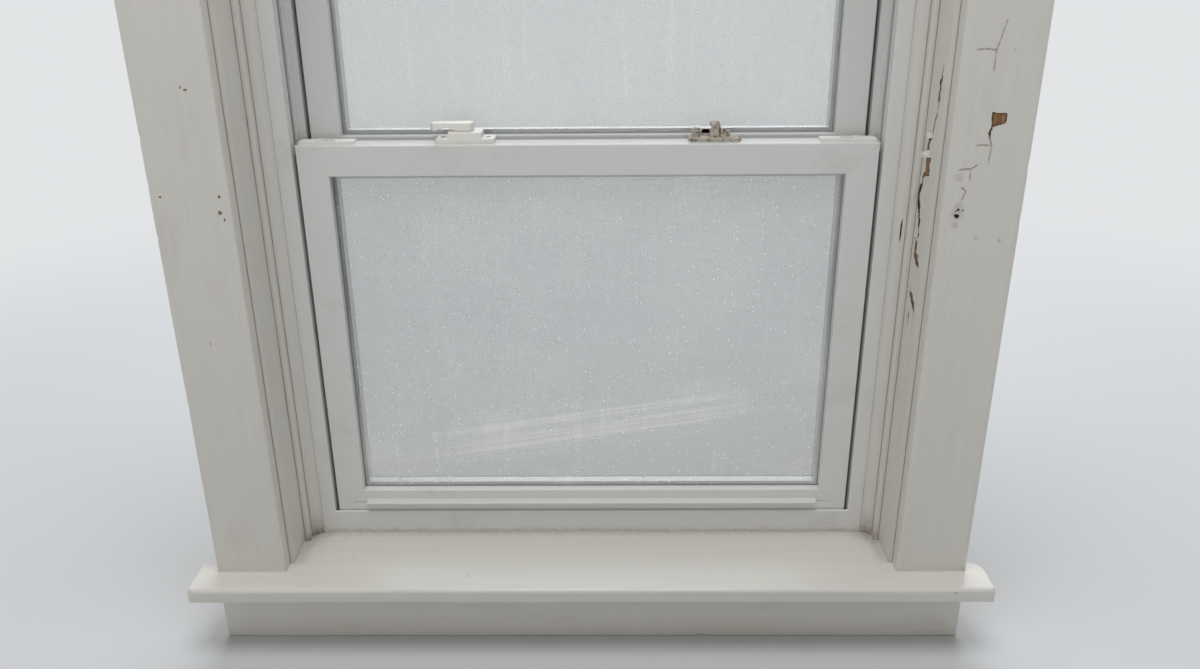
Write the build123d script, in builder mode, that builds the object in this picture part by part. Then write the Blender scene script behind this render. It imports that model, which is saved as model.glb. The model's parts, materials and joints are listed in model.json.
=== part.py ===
"""Old wooden window opening with a tilt-in double-hung vinyl window, with its casings, stool and apron.

Millimetres. +Z is up, +X is to the right seen from the room and +Y points outdoors.
X = 0 is the middle of the window, Y = 0 the wall face behind the casings, Z = 0 the apron's lower edge.
"""
import math
import os

from build123d import *

# Wooden opening
opening_width = 762.0
jamb_thickness = 19.0
casing_width = 87.0
casing_thickness = 19.0
casing_reveal = 5.0
casing_ease = 2.2
apron_height = 81.0
stool_thickness = 19.0
stool_nose = 38.0
stool_horn = 24.0
stool_nose_round = 5.0
stool_underside_round = 2.0
broken_corner_round = 17.0
stop_thickness = 6.5
stop_depth = 20.0
stop_round = 2.6
cove_face_leg = 14.0
cove_side_leg = 10.0
cove_flat = 1.0
blind_stop_thickness = 12.0
blind_stop_width = 13.0
sill_thickness = 38.0
sill_slope = 6.0
sill_nose = 46.0
sill_setback = 3.0
sill_drip_inset = 14.0
sill_drip_radius = 3.0

# Vinyl frame
frame_setback = 71.0
frame_gap = 5.0
frame_leg = 33.5
frame_wall = 2.5
frame_edge_round = 1.4
parting_step = 8.0
slot_width = 12.0
slot_offset = 0.5
pocket_depth = 17.0
exterior_lip = 10.5
screen_track_width = 10.5
screen_lip = 9.0
sill_dam_height = 33.0
sill_pan_drop = 10.0
upper_pan_drop = 8.0
pan_fall = 7.0
screen_dam_height = 17.0
weep_length = 26.0
weep_height = 5.0
weep_inset = 110.0

# Sashes
sash_height = 495.0
sash_face = 36.0
sash_thickness = 35.0
sash_setback = 4.0
sash_side_gap = 4.0
sash_pitch_gap = 5.0
sash_edge_round = 1.2
parting_gap = 2.0
sill_gap = 4.0
head_gap = 8.0
meeting_offset = 4.0
sash_travel = 415.0

# Sealed glass units and their beads
glass_thickness = 3.0
glass_space = 12.0
bead_depth = 6.0
glass_bite = 12.0
glass_edge_gap = 2.0
mitre_gap = 0.1
spacer_depth = 15.0
bead_overlap = 4.5
bead_slope = 4.0

# Meeting rail interlock
hook_thickness = 1.1
hook_length = 600.0
hook_leg = 6.0
hook_clearance = 0.7
hook_height = 9.0
hook_lift = 1.8

# Lift rail on the lower sash
lift_length = 597.0
lift_reach = 11.0
lift_lip = 2.6
lift_root = 5.0
lift_edge = 1.0
lift_height = 23.0
lift_end_round = 4.0
lift_kerf_length = 18.0
lift_kerf = 1.0

# Tilt latches
latch_length = 66.0
latch_depth = 16.0
latch_height = 3.5
latch_setback = 12.0
latch_edge = 0.8
latch_pocket_spare = 5.0
latch_pocket_depth = 12.0
bolt_side_gap = 1.0
bolt_height = 9.0
bolt_tail = 40.0
bolt_bite = 6.5
bolt_coil_gap = 3.2
bolt_bevel = 5.0
button_length = 8.0
button_width = 7.0
button_rise = 1.4
button_setback = 25.0
button_ridge = 0.8
button_round = 1.5

# Balances
pin_diameter = 7.0
pin_engagement = 28.0
pin_reach = 20.0
pin_height = 9.0
shoe_below = 11.0
shoe_above = 22.0
shoe_edge = 1.5
coil_winding = 3.5
ribbon_thickness = 0.4
ribbon_reserve = 17.0
carrier_cheek = 1.8
carrier_cap = 11.0
carrier_inset = 1.5
upper_coil_drop = 30.0

# Cam locks
lock_offset = 142.5
broken_lock_offset = 150.0
lock_length = 69.0
lock_depth = 25.0
lock_base_height = 5.5
lock_overhang = 2.0
lock_block_length = 39.5
lock_block_height = 7.0
lock_wall = 1.5
lock_corner = 2.0
lock_edge = 0.8
lock_screw_spacing = 53.3
cam_radius = 15.5
cam_thickness = 3.0
cam_lift = 0.5
cam_tip_radius = 3.5
lock_shaft_diameter = 8.0
lever_length = 42.0
lever_hub_radius = 9.8
lever_height = 9.2
lever_arch = 3.4
lever_arch_start = 12.0
lever_arch_end = 34.0
lever_tip_width = 13.0
lever_edge = 1.2
lever_bore = 5.0
keeper_wall = 2.0
broken_base_length = 61.0
broken_base_corner = 5.0
broken_base_height = 4.5
broken_screw_spacing = 44.6
broken_boss_radius = 5.6
broken_boss_height = 8.0
broken_hub_size = 11.5
broken_hub_height = 17.0
broken_wall_height = 11.0
broken_wall_width = 4.5
broken_wall_slant = 5.0
broken_stub_radius = 2.4
broken_stub_height = 7.0
broken_stub_offset = 16.0
broken_wall_depth = 16.0
broken_hub_bevel = 1.8
broken_hub_notch = 4.0
broken_hub_notch_height = 10.5
screw_diameter = 4.0
screw_head_diameter = 8.0
screw_head_height = 1.8
screw_length = 14.0
screw_recess = 1.2
screw_recess_width = 1.3
screw_recess_length = 4.8
screw_sink = 0.4

# Half insect screen
screen_bar_width = 19.0
screen_bar_thickness = 8.0
screen_lap = 25.5
screen_groove_width = 3.6
screen_groove_depth = 4.0
screen_groove_inset = 5.0
screen_mesh_thickness = 0.3

# Weather seal, shims and installation screws
seal_stem = 2.2
seal_stem_height = 3.2
seal_radius = 1.8
seal_end_gap = 14.0
shim_depth = 40.0
shim_height = 60.0
shim_rise = 78.0
shim_drop = 85.0
frame_screw_diameter = 4.0
frame_screw_length = 23.0

# Clearances
slide_clearance = 0.7
fit_clearance = 0.08
screw_clearance = 0.05
cavity_clearance = 0.5
step_gap = 0.3

# Places worked out from the sizes above
opening_half = opening_width / 2
casing_inner = opening_half + casing_reveal
casing_outer = casing_inner + casing_width
stool_half = casing_outer + stool_horn
stool_underside = apron_height
stool_top = stool_underside + stool_thickness
stool_front = -casing_thickness - stool_nose
frame_outer = opening_half - frame_gap
track_lower = frame_outer - frame_leg
track_upper = track_lower - parting_step
lip_inner = track_upper - exterior_lip

lower_front = frame_setback + sash_setback
lower_back = lower_front + sash_thickness
upper_front = lower_back + sash_pitch_gap
upper_back = upper_front + sash_thickness
parting_face = lower_back + parting_gap
lip_front = upper_back + parting_gap
lip_back = lip_front + frame_wall
screen_lip_front = lip_back + screen_track_width
frame_back = screen_lip_front + frame_wall
jamb_depth = frame_back + blind_stop_thickness
lower_half = track_lower - sash_side_gap
upper_half = track_upper - sash_side_gap

sill_dam_top = stool_top + sill_dam_height
pan_top = sill_dam_top - sill_pan_drop
lower_bottom = pan_top + sill_gap
lower_top = lower_bottom + sash_height
upper_bottom = lower_top + meeting_offset - sash_face
upper_top = upper_bottom + sash_height
head_upper = upper_top + head_gap
head_lower = head_upper + parting_step
frame_top = head_lower + frame_leg
opening_top = frame_top + frame_gap
casing_head_bottom = opening_top + casing_reveal
casing_head_top = casing_head_bottom + casing_width
jamb_outer = opening_half + jamb_thickness
stop_inner = opening_half - stop_thickness
stop_front = frame_setback - stop_depth
stop_head_bottom = opening_top - stop_thickness

slot_middle = sash_thickness / 2 + slot_offset
pocket_back = frame_outer - frame_wall
shim_levels = (lower_top + shim_rise, upper_top - shim_drop)
sill_fall = math.tan(math.radians(sill_slope))
sill_outer_edge = jamb_depth + sill_nose
glass_inset = sash_face - glass_bite + glass_edge_gap
glass_edge = sash_face - glass_bite
glass_reveal = sash_thickness - bead_depth - 2 * glass_thickness - glass_space
bolt_width = slot_width - 2 * bolt_side_gap
bolt_reach = sash_side_gap + frame_wall + bolt_bite
bolt_travel = bolt_reach
latch_pocket_length = bolt_tail + bolt_travel + latch_pocket_spare
ribbon_width = pocket_depth - 2 * (carrier_cheek + 2 * fit_clearance + cavity_clearance)
coil_room = frame_leg - 2 * frame_wall - bolt_bite - bolt_coil_gap
coil_radius = (coil_room - ribbon_thickness - 2 * slide_clearance) / 2
coil_bore_radius = coil_radius - coil_winding
lock_back = lower_back + lock_overhang
lock_front = lock_back - lock_depth
lock_screw_depth = (lock_front + lock_back) / 2
lock_screw_places = (
    -lock_offset - lock_screw_spacing / 2, -lock_offset + lock_screw_spacing / 2,
    broken_lock_offset - broken_screw_spacing / 2, broken_lock_offset + broken_screw_spacing / 2,
)
sides = (("left", -1), ("right", 1))


def sill_surface(depth):
    """Height of the wooden sill's top, flat under the stool and sloping beyond the frame's face."""
    return stool_underside - max(0.0, depth - frame_setback) * sill_fall


def wall_plane(depth):
    """Upright plane at a depth, drawn in X and Z. A negative extrusion goes outdoors."""
    return Plane.XZ.offset(-depth)


def box_between(low, high, mode=Mode.ADD):
    """Block between two opposite corners."""
    size = [b - a for a, b in zip(low, high)]
    middle = [(a + b) / 2 for a, b in zip(low, high)]
    with Locations(tuple(middle)):
        return Box(*size, mode=mode)


def write(piece, name):
    """Label a finished piece and write its file."""
    piece.part.label = name
    export_step(piece.part, f"parts/{name}.step")


os.makedirs("parts", exist_ok=True)

# Casing legs, flat boards with eased front edges, standing on the stool
for side, sign in sides:
    with BuildPart() as casing:
        with BuildSketch(Plane.XY.offset(stool_top)):
            with Locations((sign * (casing_inner + casing_outer) / 2, -casing_thickness / 2)):
                board = Rectangle(casing_width, casing_thickness)
            fillet(board.vertices().group_by(Axis.Y)[0], casing_ease)
        extrude(amount=casing_head_bottom - stool_top)
    write(casing, f"casing_{side}")

# Head casing, laid across the tops of the legs
with BuildPart() as casing_head:
    with BuildSketch(Plane.YZ.offset(-casing_outer)):
        with Locations((-casing_thickness / 2, (casing_head_bottom + casing_head_top) / 2)):
            board = Rectangle(casing_thickness, casing_width)
        fillet(board.vertices().group_by(Axis.Y)[0], casing_ease)
    extrude(amount=2 * casing_outer)
write(casing_head, "casing_head")

# Stool with horns past the casings, its nose rounded and one horn's back corner broken off
with BuildPart() as stool:
    with BuildSketch(Plane.XY.offset(stool_underside)):
        with BuildLine():
            Polyline(
                (-stool_half, stool_front), (stool_half, stool_front), (stool_half, 0),
                (opening_half, 0), (opening_half, frame_setback), (-opening_half, frame_setback),
                (-opening_half, 0), (-stool_half, 0), close=True,
            )
        make_face()
    extrude(amount=stool_thickness)
    uprights = stool.edges().filter_by(Axis.Z)
    fillet(uprights.sort_by(Axis.X)[-2:].sort_by(Axis.Y)[-1], broken_corner_round)
    nose = stool.faces().sort_by(Axis.Y)[0].edges().filter_by(Axis.X)
    fillet(nose.sort_by(Axis.Z)[-1], stool_nose_round)
    nose = stool.faces().sort_by(Axis.Y)[0].edges().filter_by(Axis.X)
    fillet(nose.sort_by(Axis.Z)[0], stool_underside_round)
write(stool, "stool")

# Apron under the stool
with BuildPart() as apron:
    with BuildSketch(Plane.YZ.offset(-casing_outer)):
        with Locations((-casing_thickness / 2, apron_height / 2)):
            board = Rectangle(casing_thickness, apron_height)
        fillet(board.vertices().group_by(Axis.X)[0].sort_by(Axis.Y)[0], casing_ease)
    extrude(amount=2 * casing_outer)
write(apron, "apron")

# Wooden sill, sloping outdoors, with a drip groove under its nose
with BuildPart() as wood_sill:
    with BuildSketch(Plane.YZ.offset(-jamb_outer)):
        with BuildLine():
            Polyline(
                (sill_setback, stool_underside), (frame_setback, stool_underside),
                (sill_outer_edge, sill_surface(sill_outer_edge)),
                (sill_outer_edge, sill_surface(sill_outer_edge) - sill_thickness),
                (frame_setback, stool_underside - sill_thickness),
                (sill_setback, stool_underside - sill_thickness),
                close=True,
            )
        make_face()
        drip_depth = sill_outer_edge - sill_drip_inset
        with Locations((drip_depth, sill_surface(drip_depth) - sill_thickness)):
            Circle(sill_drip_radius, mode=Mode.SUBTRACT)
    extrude(amount=2 * jamb_outer)
write(wood_sill, "wood_sill")

# Old side jambs, cut to the slope of the sill, with holes for the installation screws
slot_depth_lower = lower_front + slot_middle
slot_depth_upper = upper_front + slot_middle
for side, sign in sides:
    with BuildPart() as jamb:
        with BuildSketch(Plane.YZ.offset(sign * opening_half)):
            with BuildLine():
                Polyline(
                    (0, stool_underside), (frame_setback, stool_underside),
                    (jamb_depth, sill_surface(jamb_depth)), (jamb_depth, opening_top), (0, opening_top),
                    close=True,
                )
            make_face()
        extrude(amount=sign * jamb_thickness)
        screw_plane = Plane.YZ.offset(sign * opening_half)
        with BuildSketch(screw_plane):
            with Locations(*[(slot_depth_lower, level) for level in shim_levels]):
                Circle(frame_screw_diameter / 2 + screw_clearance)
        hole_depth = frame_screw_length - frame_wall - frame_gap + cavity_clearance
        extrude(amount=sign * hole_depth, mode=Mode.SUBTRACT)
    write(jamb, f"jamb_{side}")

# Head jamb on top of the side jambs
with BuildPart() as jamb_head:
    with BuildSketch(wall_plane(0)):
        with Locations((0, opening_top + jamb_thickness / 2)):
            Rectangle(2 * jamb_outer, jamb_thickness)
    extrude(amount=-jamb_depth)
write(jamb_head, "jamb_head")

# Interior stops against the vinyl frame, their room edge rounded
for side, sign in sides:
    with BuildPart() as stop:
        with BuildSketch(Plane.XY.offset(stool_top)):
            middle = sign * (stop_inner + stop_thickness / 2)
            with Locations((middle, stop_front + stop_depth / 2)):
                strip = Rectangle(stop_thickness, stop_depth)
            room_corners = strip.vertices().group_by(Axis.Y)[0]
            fillet(room_corners.sort_by(lambda corner: abs(corner.X))[0], stop_round)
        extrude(amount=stop_head_bottom - stool_top)
    write(stop, f"stop_{side}")

with BuildPart() as stop_head:
    with BuildSketch(Plane.YZ.offset(-opening_half)):
        with Locations((stop_front + stop_depth / 2, stop_head_bottom + stop_thickness / 2)):
            strip = Rectangle(stop_depth, stop_thickness)
        room_corners = strip.vertices().group_by(Axis.X)[0]
        fillet(room_corners.sort_by(Axis.Y)[0], stop_round)
    extrude(amount=2 * opening_half)
write(stop_head, "stop_head")


def cove_points(corner, side_step, face_step):
    """Corners, end and arc middle of the concave strip between a stop and the frame's face."""
    turn = math.sin(math.radians(45))
    start = corner + side_step * cove_side_leg + face_step * cove_flat
    end = corner + face_step * cove_face_leg + side_step * cove_flat
    middle = (
        corner
        + side_step * (cove_side_leg - (cove_side_leg - cove_flat) * turn)
        + face_step * (cove_face_leg - (cove_face_leg - cove_flat) * turn)
    )
    corners = [start, corner + side_step * cove_side_leg, corner, corner + face_step * cove_face_leg, end]
    return corners, middle


# Cove strips, mitred at the head
for side, sign in sides:
    with BuildPart() as cove:
        corner = Vector(sign * stop_inner, frame_setback)
        corners, middle = cove_points(corner, Vector(0, -1), Vector(-sign, 0))
        with BuildSketch(Plane.XY.offset(stool_top)):
            with BuildLine():
                Polyline(*corners)
                ThreePointArc(corners[-1], middle, corners[0])
            make_face()
        extrude(amount=stop_head_bottom - stool_top)
        mitre = Plane(origin=(sign * stop_inner, 0, stop_head_bottom), z_dir=(sign, 0, -1))
        split(bisect_by=mitre, keep=Keep.TOP)
    write(cove, f"cove_{side}")

with BuildPart() as cove_head:
    corners, middle = cove_points(Vector(frame_setback, stop_head_bottom), Vector(-1, 0), Vector(0, -1))
    with BuildSketch(Plane.YZ.offset(-stop_inner)):
        with BuildLine():
            Polyline(*corners)
            ThreePointArc(corners[-1], middle, corners[0])
        make_face()
    extrude(amount=2 * stop_inner)
    for side, sign in sides:
        mitre = Plane(origin=(sign * stop_inner, 0, stop_head_bottom), z_dir=(-sign, 0, 1))
        split(bisect_by=mitre, keep=Keep.TOP)
write(cove_head, "cove_head")

# Blind stops outdoors of the frame
for side, sign in sides:
    with BuildPart() as blind_stop:
        with BuildSketch(Plane.YZ.offset(sign * (opening_half - blind_stop_width))):
            with BuildLine():
                Polyline(
                    (frame_back, sill_surface(frame_back)), (jamb_depth, sill_surface(jamb_depth)),
                    (jamb_depth, opening_top - blind_stop_width),
                    (frame_back, opening_top - blind_stop_width),
                    close=True,
                )
            make_face()
        extrude(amount=sign * blind_stop_width)
    write(blind_stop, f"blind_stop_{side}")

with BuildPart() as blind_stop_head:
    with BuildSketch(wall_plane(frame_back)):
        with Locations((0, opening_top - blind_stop_width / 2)):
            Rectangle(2 * opening_half, blind_stop_width)
    extrude(amount=-blind_stop_thickness)
write(blind_stop_head, "blind_stop_head")

# Vinyl frame: one welded piece, its head and sides of one profile with two slotted balance tracks
slot_lower = (slot_depth_lower - slot_width / 2, slot_depth_lower + slot_width / 2)
slot_upper = (slot_depth_upper - slot_width / 2, slot_depth_upper + slot_width / 2)
pocket_lower = (slot_depth_lower - pocket_depth / 2, slot_depth_lower + pocket_depth / 2)
pocket_upper = (slot_depth_upper - pocket_depth / 2, slot_depth_upper + pocket_depth / 2)
pan_underside = pan_top - upper_pan_drop - pan_fall - frame_wall
with BuildPart() as master_frame:
    with BuildSketch(Plane.YZ.offset(-frame_outer)):
        with BuildLine():
            Polyline(
                (frame_setback, stool_underside), (frame_setback, sill_dam_top),
                (frame_setback + frame_wall, sill_dam_top), (frame_setback + frame_wall, pan_top),
                (parting_face, pan_top), (parting_face, pan_top - upper_pan_drop),
                (screen_lip_front, pan_top - upper_pan_drop - pan_fall),
                (screen_lip_front, pan_top - upper_pan_drop - pan_fall + screen_dam_height),
                (frame_back, pan_top - upper_pan_drop - pan_fall + screen_dam_height),
                (frame_back, sill_surface(frame_back)),
                close=True,
            )
        make_face()
        with BuildLine():
            inner_back = parting_face - frame_wall
            Polyline(
                (frame_setback + frame_wall, sill_surface(frame_setback + frame_wall) + frame_wall),
                (frame_setback + frame_wall, pan_top - frame_wall), (inner_back, pan_top - frame_wall),
                (inner_back, sill_surface(inner_back) + frame_wall),
                close=True,
            )
        make_face(mode=Mode.SUBTRACT)
        with BuildLine():
            Polyline(
                (parting_face, sill_surface(parting_face) + frame_wall),
                (parting_face, pan_top - upper_pan_drop - frame_wall),
                (screen_lip_front, pan_underside),
                (screen_lip_front, sill_surface(screen_lip_front) + frame_wall),
                close=True,
            )
        make_face(mode=Mode.SUBTRACT)
    extrude(amount=2 * frame_outer)
    with BuildLine() as frame_path:
        Polyline(
            (-frame_outer, 0, pan_underside), (-frame_outer, 0, frame_top),
            (frame_outer, 0, frame_top), (frame_outer, 0, pan_underside),
        )
    with BuildSketch(Plane.XY.offset(pan_underside)):
        with BuildLine():
            Polyline(
                (-frame_outer, frame_setback), (-track_lower, frame_setback),
                (-track_lower, slot_lower[0]), (-track_lower - frame_wall, slot_lower[0]),
                (-track_lower - frame_wall, pocket_lower[0]), (-pocket_back, pocket_lower[0]),
                (-pocket_back, pocket_lower[1]), (-track_lower - frame_wall, pocket_lower[1]),
                (-track_lower - frame_wall, slot_lower[1]), (-track_lower, slot_lower[1]),
                (-track_lower, parting_face), (-track_upper, parting_face),
                (-track_upper, slot_upper[0]), (-track_upper - frame_wall, slot_upper[0]),
                (-track_upper - frame_wall, pocket_upper[0]), (-pocket_back, pocket_upper[0]),
                (-pocket_back, pocket_upper[1]), (-track_upper - frame_wall, pocket_upper[1]),
                (-track_upper - frame_wall, slot_upper[1]), (-track_upper, slot_upper[1]),
                (-track_upper, lip_front), (-lip_inner, lip_front), (-lip_inner, lip_back),
                (-track_upper, lip_back), (-track_upper, screen_lip_front),
                (-track_upper + screen_lip, screen_lip_front), (-track_upper + screen_lip, frame_back),
                (-frame_outer, frame_back),
                close=True,
            )
        make_face()
        for near, far in (
            (frame_setback + frame_wall, pocket_lower[0] - frame_wall),
            (pocket_lower[1] + frame_wall, pocket_upper[0] - frame_wall),
            (pocket_upper[1] + frame_wall, frame_back - frame_wall),
        ):
            with Locations((-(track_lower + pocket_back + frame_wall) / 2, (near + far) / 2)):
                Rectangle(pocket_back - track_lower - frame_wall, far - near, mode=Mode.SUBTRACT)
    sweep(path=frame_path.wire(), transition=Transition.RIGHT)
    room_face = master_frame.faces().sort_by(Axis.Y)[0]
    fillet(room_face.inner_wires()[0].edges(), frame_edge_round)
    with BuildSketch(wall_plane(frame_back)):
        with Locations((-weep_inset, pan_underside - weep_height), (weep_inset, pan_underside - weep_height)):
            SlotOverall(weep_length, weep_height)
    extrude(amount=frame_wall, mode=Mode.SUBTRACT)
    for side, sign in sides:
        with BuildSketch(Plane.YZ.offset(sign * pocket_back)):
            with Locations(*[(slot_depth_lower, level) for level in shim_levels]):
                Circle(frame_screw_diameter / 2 + screw_clearance)
        extrude(amount=sign * frame_wall, mode=Mode.SUBTRACT)
write(master_frame, "master_frame")

# Shims between the frame and the jambs, where the installation screws pass
with BuildPart() as shims:
    for side, sign in sides:
        with BuildSketch(Plane.YZ.offset(sign * frame_outer)):
            with Locations(*[(slot_depth_lower, level) for level in shim_levels]):
                Rectangle(shim_depth, shim_height)
                Circle(frame_screw_diameter / 2 + screw_clearance, mode=Mode.SUBTRACT)
        extrude(amount=sign * frame_gap)
write(shims, "shims")

with BuildPart() as frame_screws:
    for side, sign in sides:
        screw_plane = Plane.YZ.offset(sign * pocket_back)
        screw_places = [(slot_depth_lower, level) for level in shim_levels]
        with BuildSketch(screw_plane):
            with Locations(*screw_places):
                Circle(frame_screw_diameter / 2)
        extrude(amount=sign * frame_screw_length)
        with BuildSketch(screw_plane):
            with Locations(*screw_places):
                Circle(screw_head_diameter / 2)
        extrude(amount=-sign * screw_head_height)
write(frame_screws, "frame_screws")


def sash(name, half, front, bottom, lifted):
    """One welded sash frame, swept round its outline with mitred corners.

    The lower sash carries the lift rail and the downward interlock hook on its top rail; the upper
    sash carries the upward hook on its bottom rail.
    """
    top = bottom + sash_height
    back = front + sash_thickness
    with BuildPart() as frame:
        with BuildLine() as outline:
            Polyline(
                (0, 0, bottom), (half, 0, bottom), (half, 0, top), (-half, 0, top), (-half, 0, bottom),
                close=True,
            )
        with BuildSketch(Plane.YZ):
            with BuildLine():
                Polyline(
                    (front, bottom), (front, bottom + sash_face), (front + glass_reveal, bottom + sash_face),
                    (front + glass_reveal, bottom + sash_face - glass_bite),
                    (back, bottom + sash_face - glass_bite), (back, bottom),
                    close=True,
                )
            profile = make_face()
            fillet(profile.vertices().group_by(Axis.X)[0], sash_edge_round)
        sweep(path=outline.wire(), transition=Transition.RIGHT)
        for side, sign in sides:
            # Routed pocket for the latch bolt, open at the end and the top of the rail
            box_between(
                (min(sign * half, sign * (half - latch_pocket_length)),
                 front + slot_middle - bolt_width / 2 - cavity_clearance, top - latch_pocket_depth),
                (max(sign * half, sign * (half - latch_pocket_length)),
                 front + slot_middle + bolt_width / 2 + cavity_clearance, top),
                mode=Mode.SUBTRACT,
            )
            # Hole for the pivot pin in the bottom corner
            with BuildSketch(Plane.YZ.offset(sign * half)):
                with Locations((front + slot_middle, bottom + pin_height)):
                    Circle(pin_diameter / 2 + fit_clearance)
            extrude(amount=-sign * (pin_engagement + cavity_clearance), mode=Mode.SUBTRACT)
        if lifted:
            hook_low = upper_bottom + hook_height + hook_lift - hook_leg
            hook_outer = upper_front - hook_clearance - hook_thickness / 2
            with BuildSketch(Plane.YZ.offset(-hook_length / 2)):
                with BuildLine():
                    Polyline(
                        (back, hook_low + hook_leg), (back, hook_low + hook_leg + hook_thickness),
                        (hook_outer, hook_low + hook_leg + hook_thickness), (hook_outer, hook_low),
                        (hook_outer - hook_thickness, hook_low),
                        (hook_outer - hook_thickness, hook_low + hook_leg),
                        close=True,
                    )
                make_face()
            extrude(amount=hook_length)
            lift_top = bottom + lift_height
            with BuildSketch(Plane.YZ.offset(-lift_length / 2)):
                with BuildLine():
                    Polyline(
                        (front + sash_edge_round, lift_top), (front - lift_reach, lift_top),
                        (front - lift_reach, lift_top - lift_lip),
                        (front + sash_edge_round, lift_top - lift_root),
                        close=True,
                    )
                lip = make_face()
                chamfer(lip.vertices().group_by(Axis.X)[0], lift_edge)
            extrude(amount=lift_length)
            fillet(frame.edges().filter_by(Axis.Z).sort_by(Axis.Y)[:2], lift_end_round)
            for side, sign in sides:
                kerf_start = sign * lift_length / 2
                kerf_end = sign * (lift_length / 2 + lift_kerf_length)
                box_between(
                    (min(kerf_start, kerf_end), front, lift_top - lift_root),
                    (max(kerf_start, kerf_end), front + sash_edge_round, lift_top - lift_root + lift_kerf),
                    mode=Mode.SUBTRACT,
                )
            box_between(
                (-half + seal_end_gap, front + slot_middle / 2 - seal_stem / 2, bottom),
                (half - seal_end_gap, front + slot_middle / 2 + seal_stem / 2, bottom + seal_stem_height),
                mode=Mode.SUBTRACT,
            )
            with BuildSketch(Plane.XY.offset(top)):
                with Locations(*[(place, lock_screw_depth) for place in lock_screw_places]):
                    Circle(screw_diameter / 2 + screw_clearance)
            extrude(amount=-screw_length, mode=Mode.SUBTRACT)
        else:
            hook_inner = lower_back + hook_clearance
            with BuildSketch(Plane.YZ.offset(-hook_length / 2)):
                with BuildLine():
                    Polyline(
                        (front, bottom + hook_thickness), (front, bottom + 2 * hook_thickness),
                        (hook_inner + hook_thickness, bottom + 2 * hook_thickness),
                        (hook_inner + hook_thickness, bottom + hook_height),
                        (hook_inner, bottom + hook_height), (hook_inner, bottom + hook_thickness),
                        close=True,
                    )
                make_face()
            extrude(amount=hook_length)
    write(frame, name)


sash("lower_sash_frame", lower_half, lower_front, lower_bottom, True)
sash("upper_sash_frame", upper_half, upper_front, upper_bottom, False)


def mitred_outlines(half, low, high, outer_inset, inner_inset):
    """Four bars round an opening, each a trapezium with a hairline gap at its mitres."""
    out_x, in_x = half - outer_inset, half - inner_inset
    outlines = []
    for outer, inner in ((low + outer_inset, low + inner_inset), (high - outer_inset, high - inner_inset)):
        outlines.append([
            (-out_x + mitre_gap, outer), (out_x - mitre_gap, outer),
            (in_x - mitre_gap, inner), (-in_x + mitre_gap, inner),
        ])
    for sign in (-1, 1):
        outlines.append([
            (sign * out_x, low + outer_inset + mitre_gap), (sign * out_x, high - outer_inset - mitre_gap),
            (sign * in_x, high - inner_inset - mitre_gap), (sign * in_x, low + inner_inset + mitre_gap),
        ])
    return outlines


def glazing(prefix, half, front, bottom):
    """Two panes on a spacer, bedded on the sash's room leg and held by four beads from outdoors."""
    top = bottom + sash_height
    middle = (bottom + top) / 2
    pane_width, pane_height = 2 * (half - glass_inset), sash_height - 2 * glass_inset
    inner_face = front + glass_reveal
    outer_face = inner_face + glass_thickness + glass_space
    for name, face in (("inner_pane", inner_face), ("outer_pane", outer_face)):
        with BuildPart() as pane:
            with BuildSketch(wall_plane(face)):
                with Locations((0, middle)):
                    Rectangle(pane_width, pane_height)
            extrude(amount=-glass_thickness)
        write(pane, f"{prefix}_{name}")
    with BuildPart() as spacer:
        with BuildSketch(wall_plane(inner_face + glass_thickness)):
            with Locations((0, middle)):
                Rectangle(pane_width, pane_height)
                Rectangle(pane_width - 2 * spacer_depth, pane_height - 2 * spacer_depth, mode=Mode.SUBTRACT)
        extrude(amount=-glass_space)
    write(spacer, f"{prefix}_spacer")
    bead_face = outer_face + glass_thickness
    with BuildPart() as beads:
        with BuildSketch(wall_plane(bead_face)):
            for outline in mitred_outlines(half, bottom, top, glass_edge, sash_face + bead_overlap):
                with BuildLine():
                    Polyline(*outline, close=True)
                make_face()
        extrude(amount=-bead_depth)
        outdoor_edges = beads.edges().group_by(Axis.Y)[-1]
        for axis in (Axis.X, Axis.Z):
            chamfer(outdoor_edges.filter_by(axis).sort_by(SortBy.LENGTH)[:2], bead_slope)
    write(beads, f"{prefix}_beads")


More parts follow.
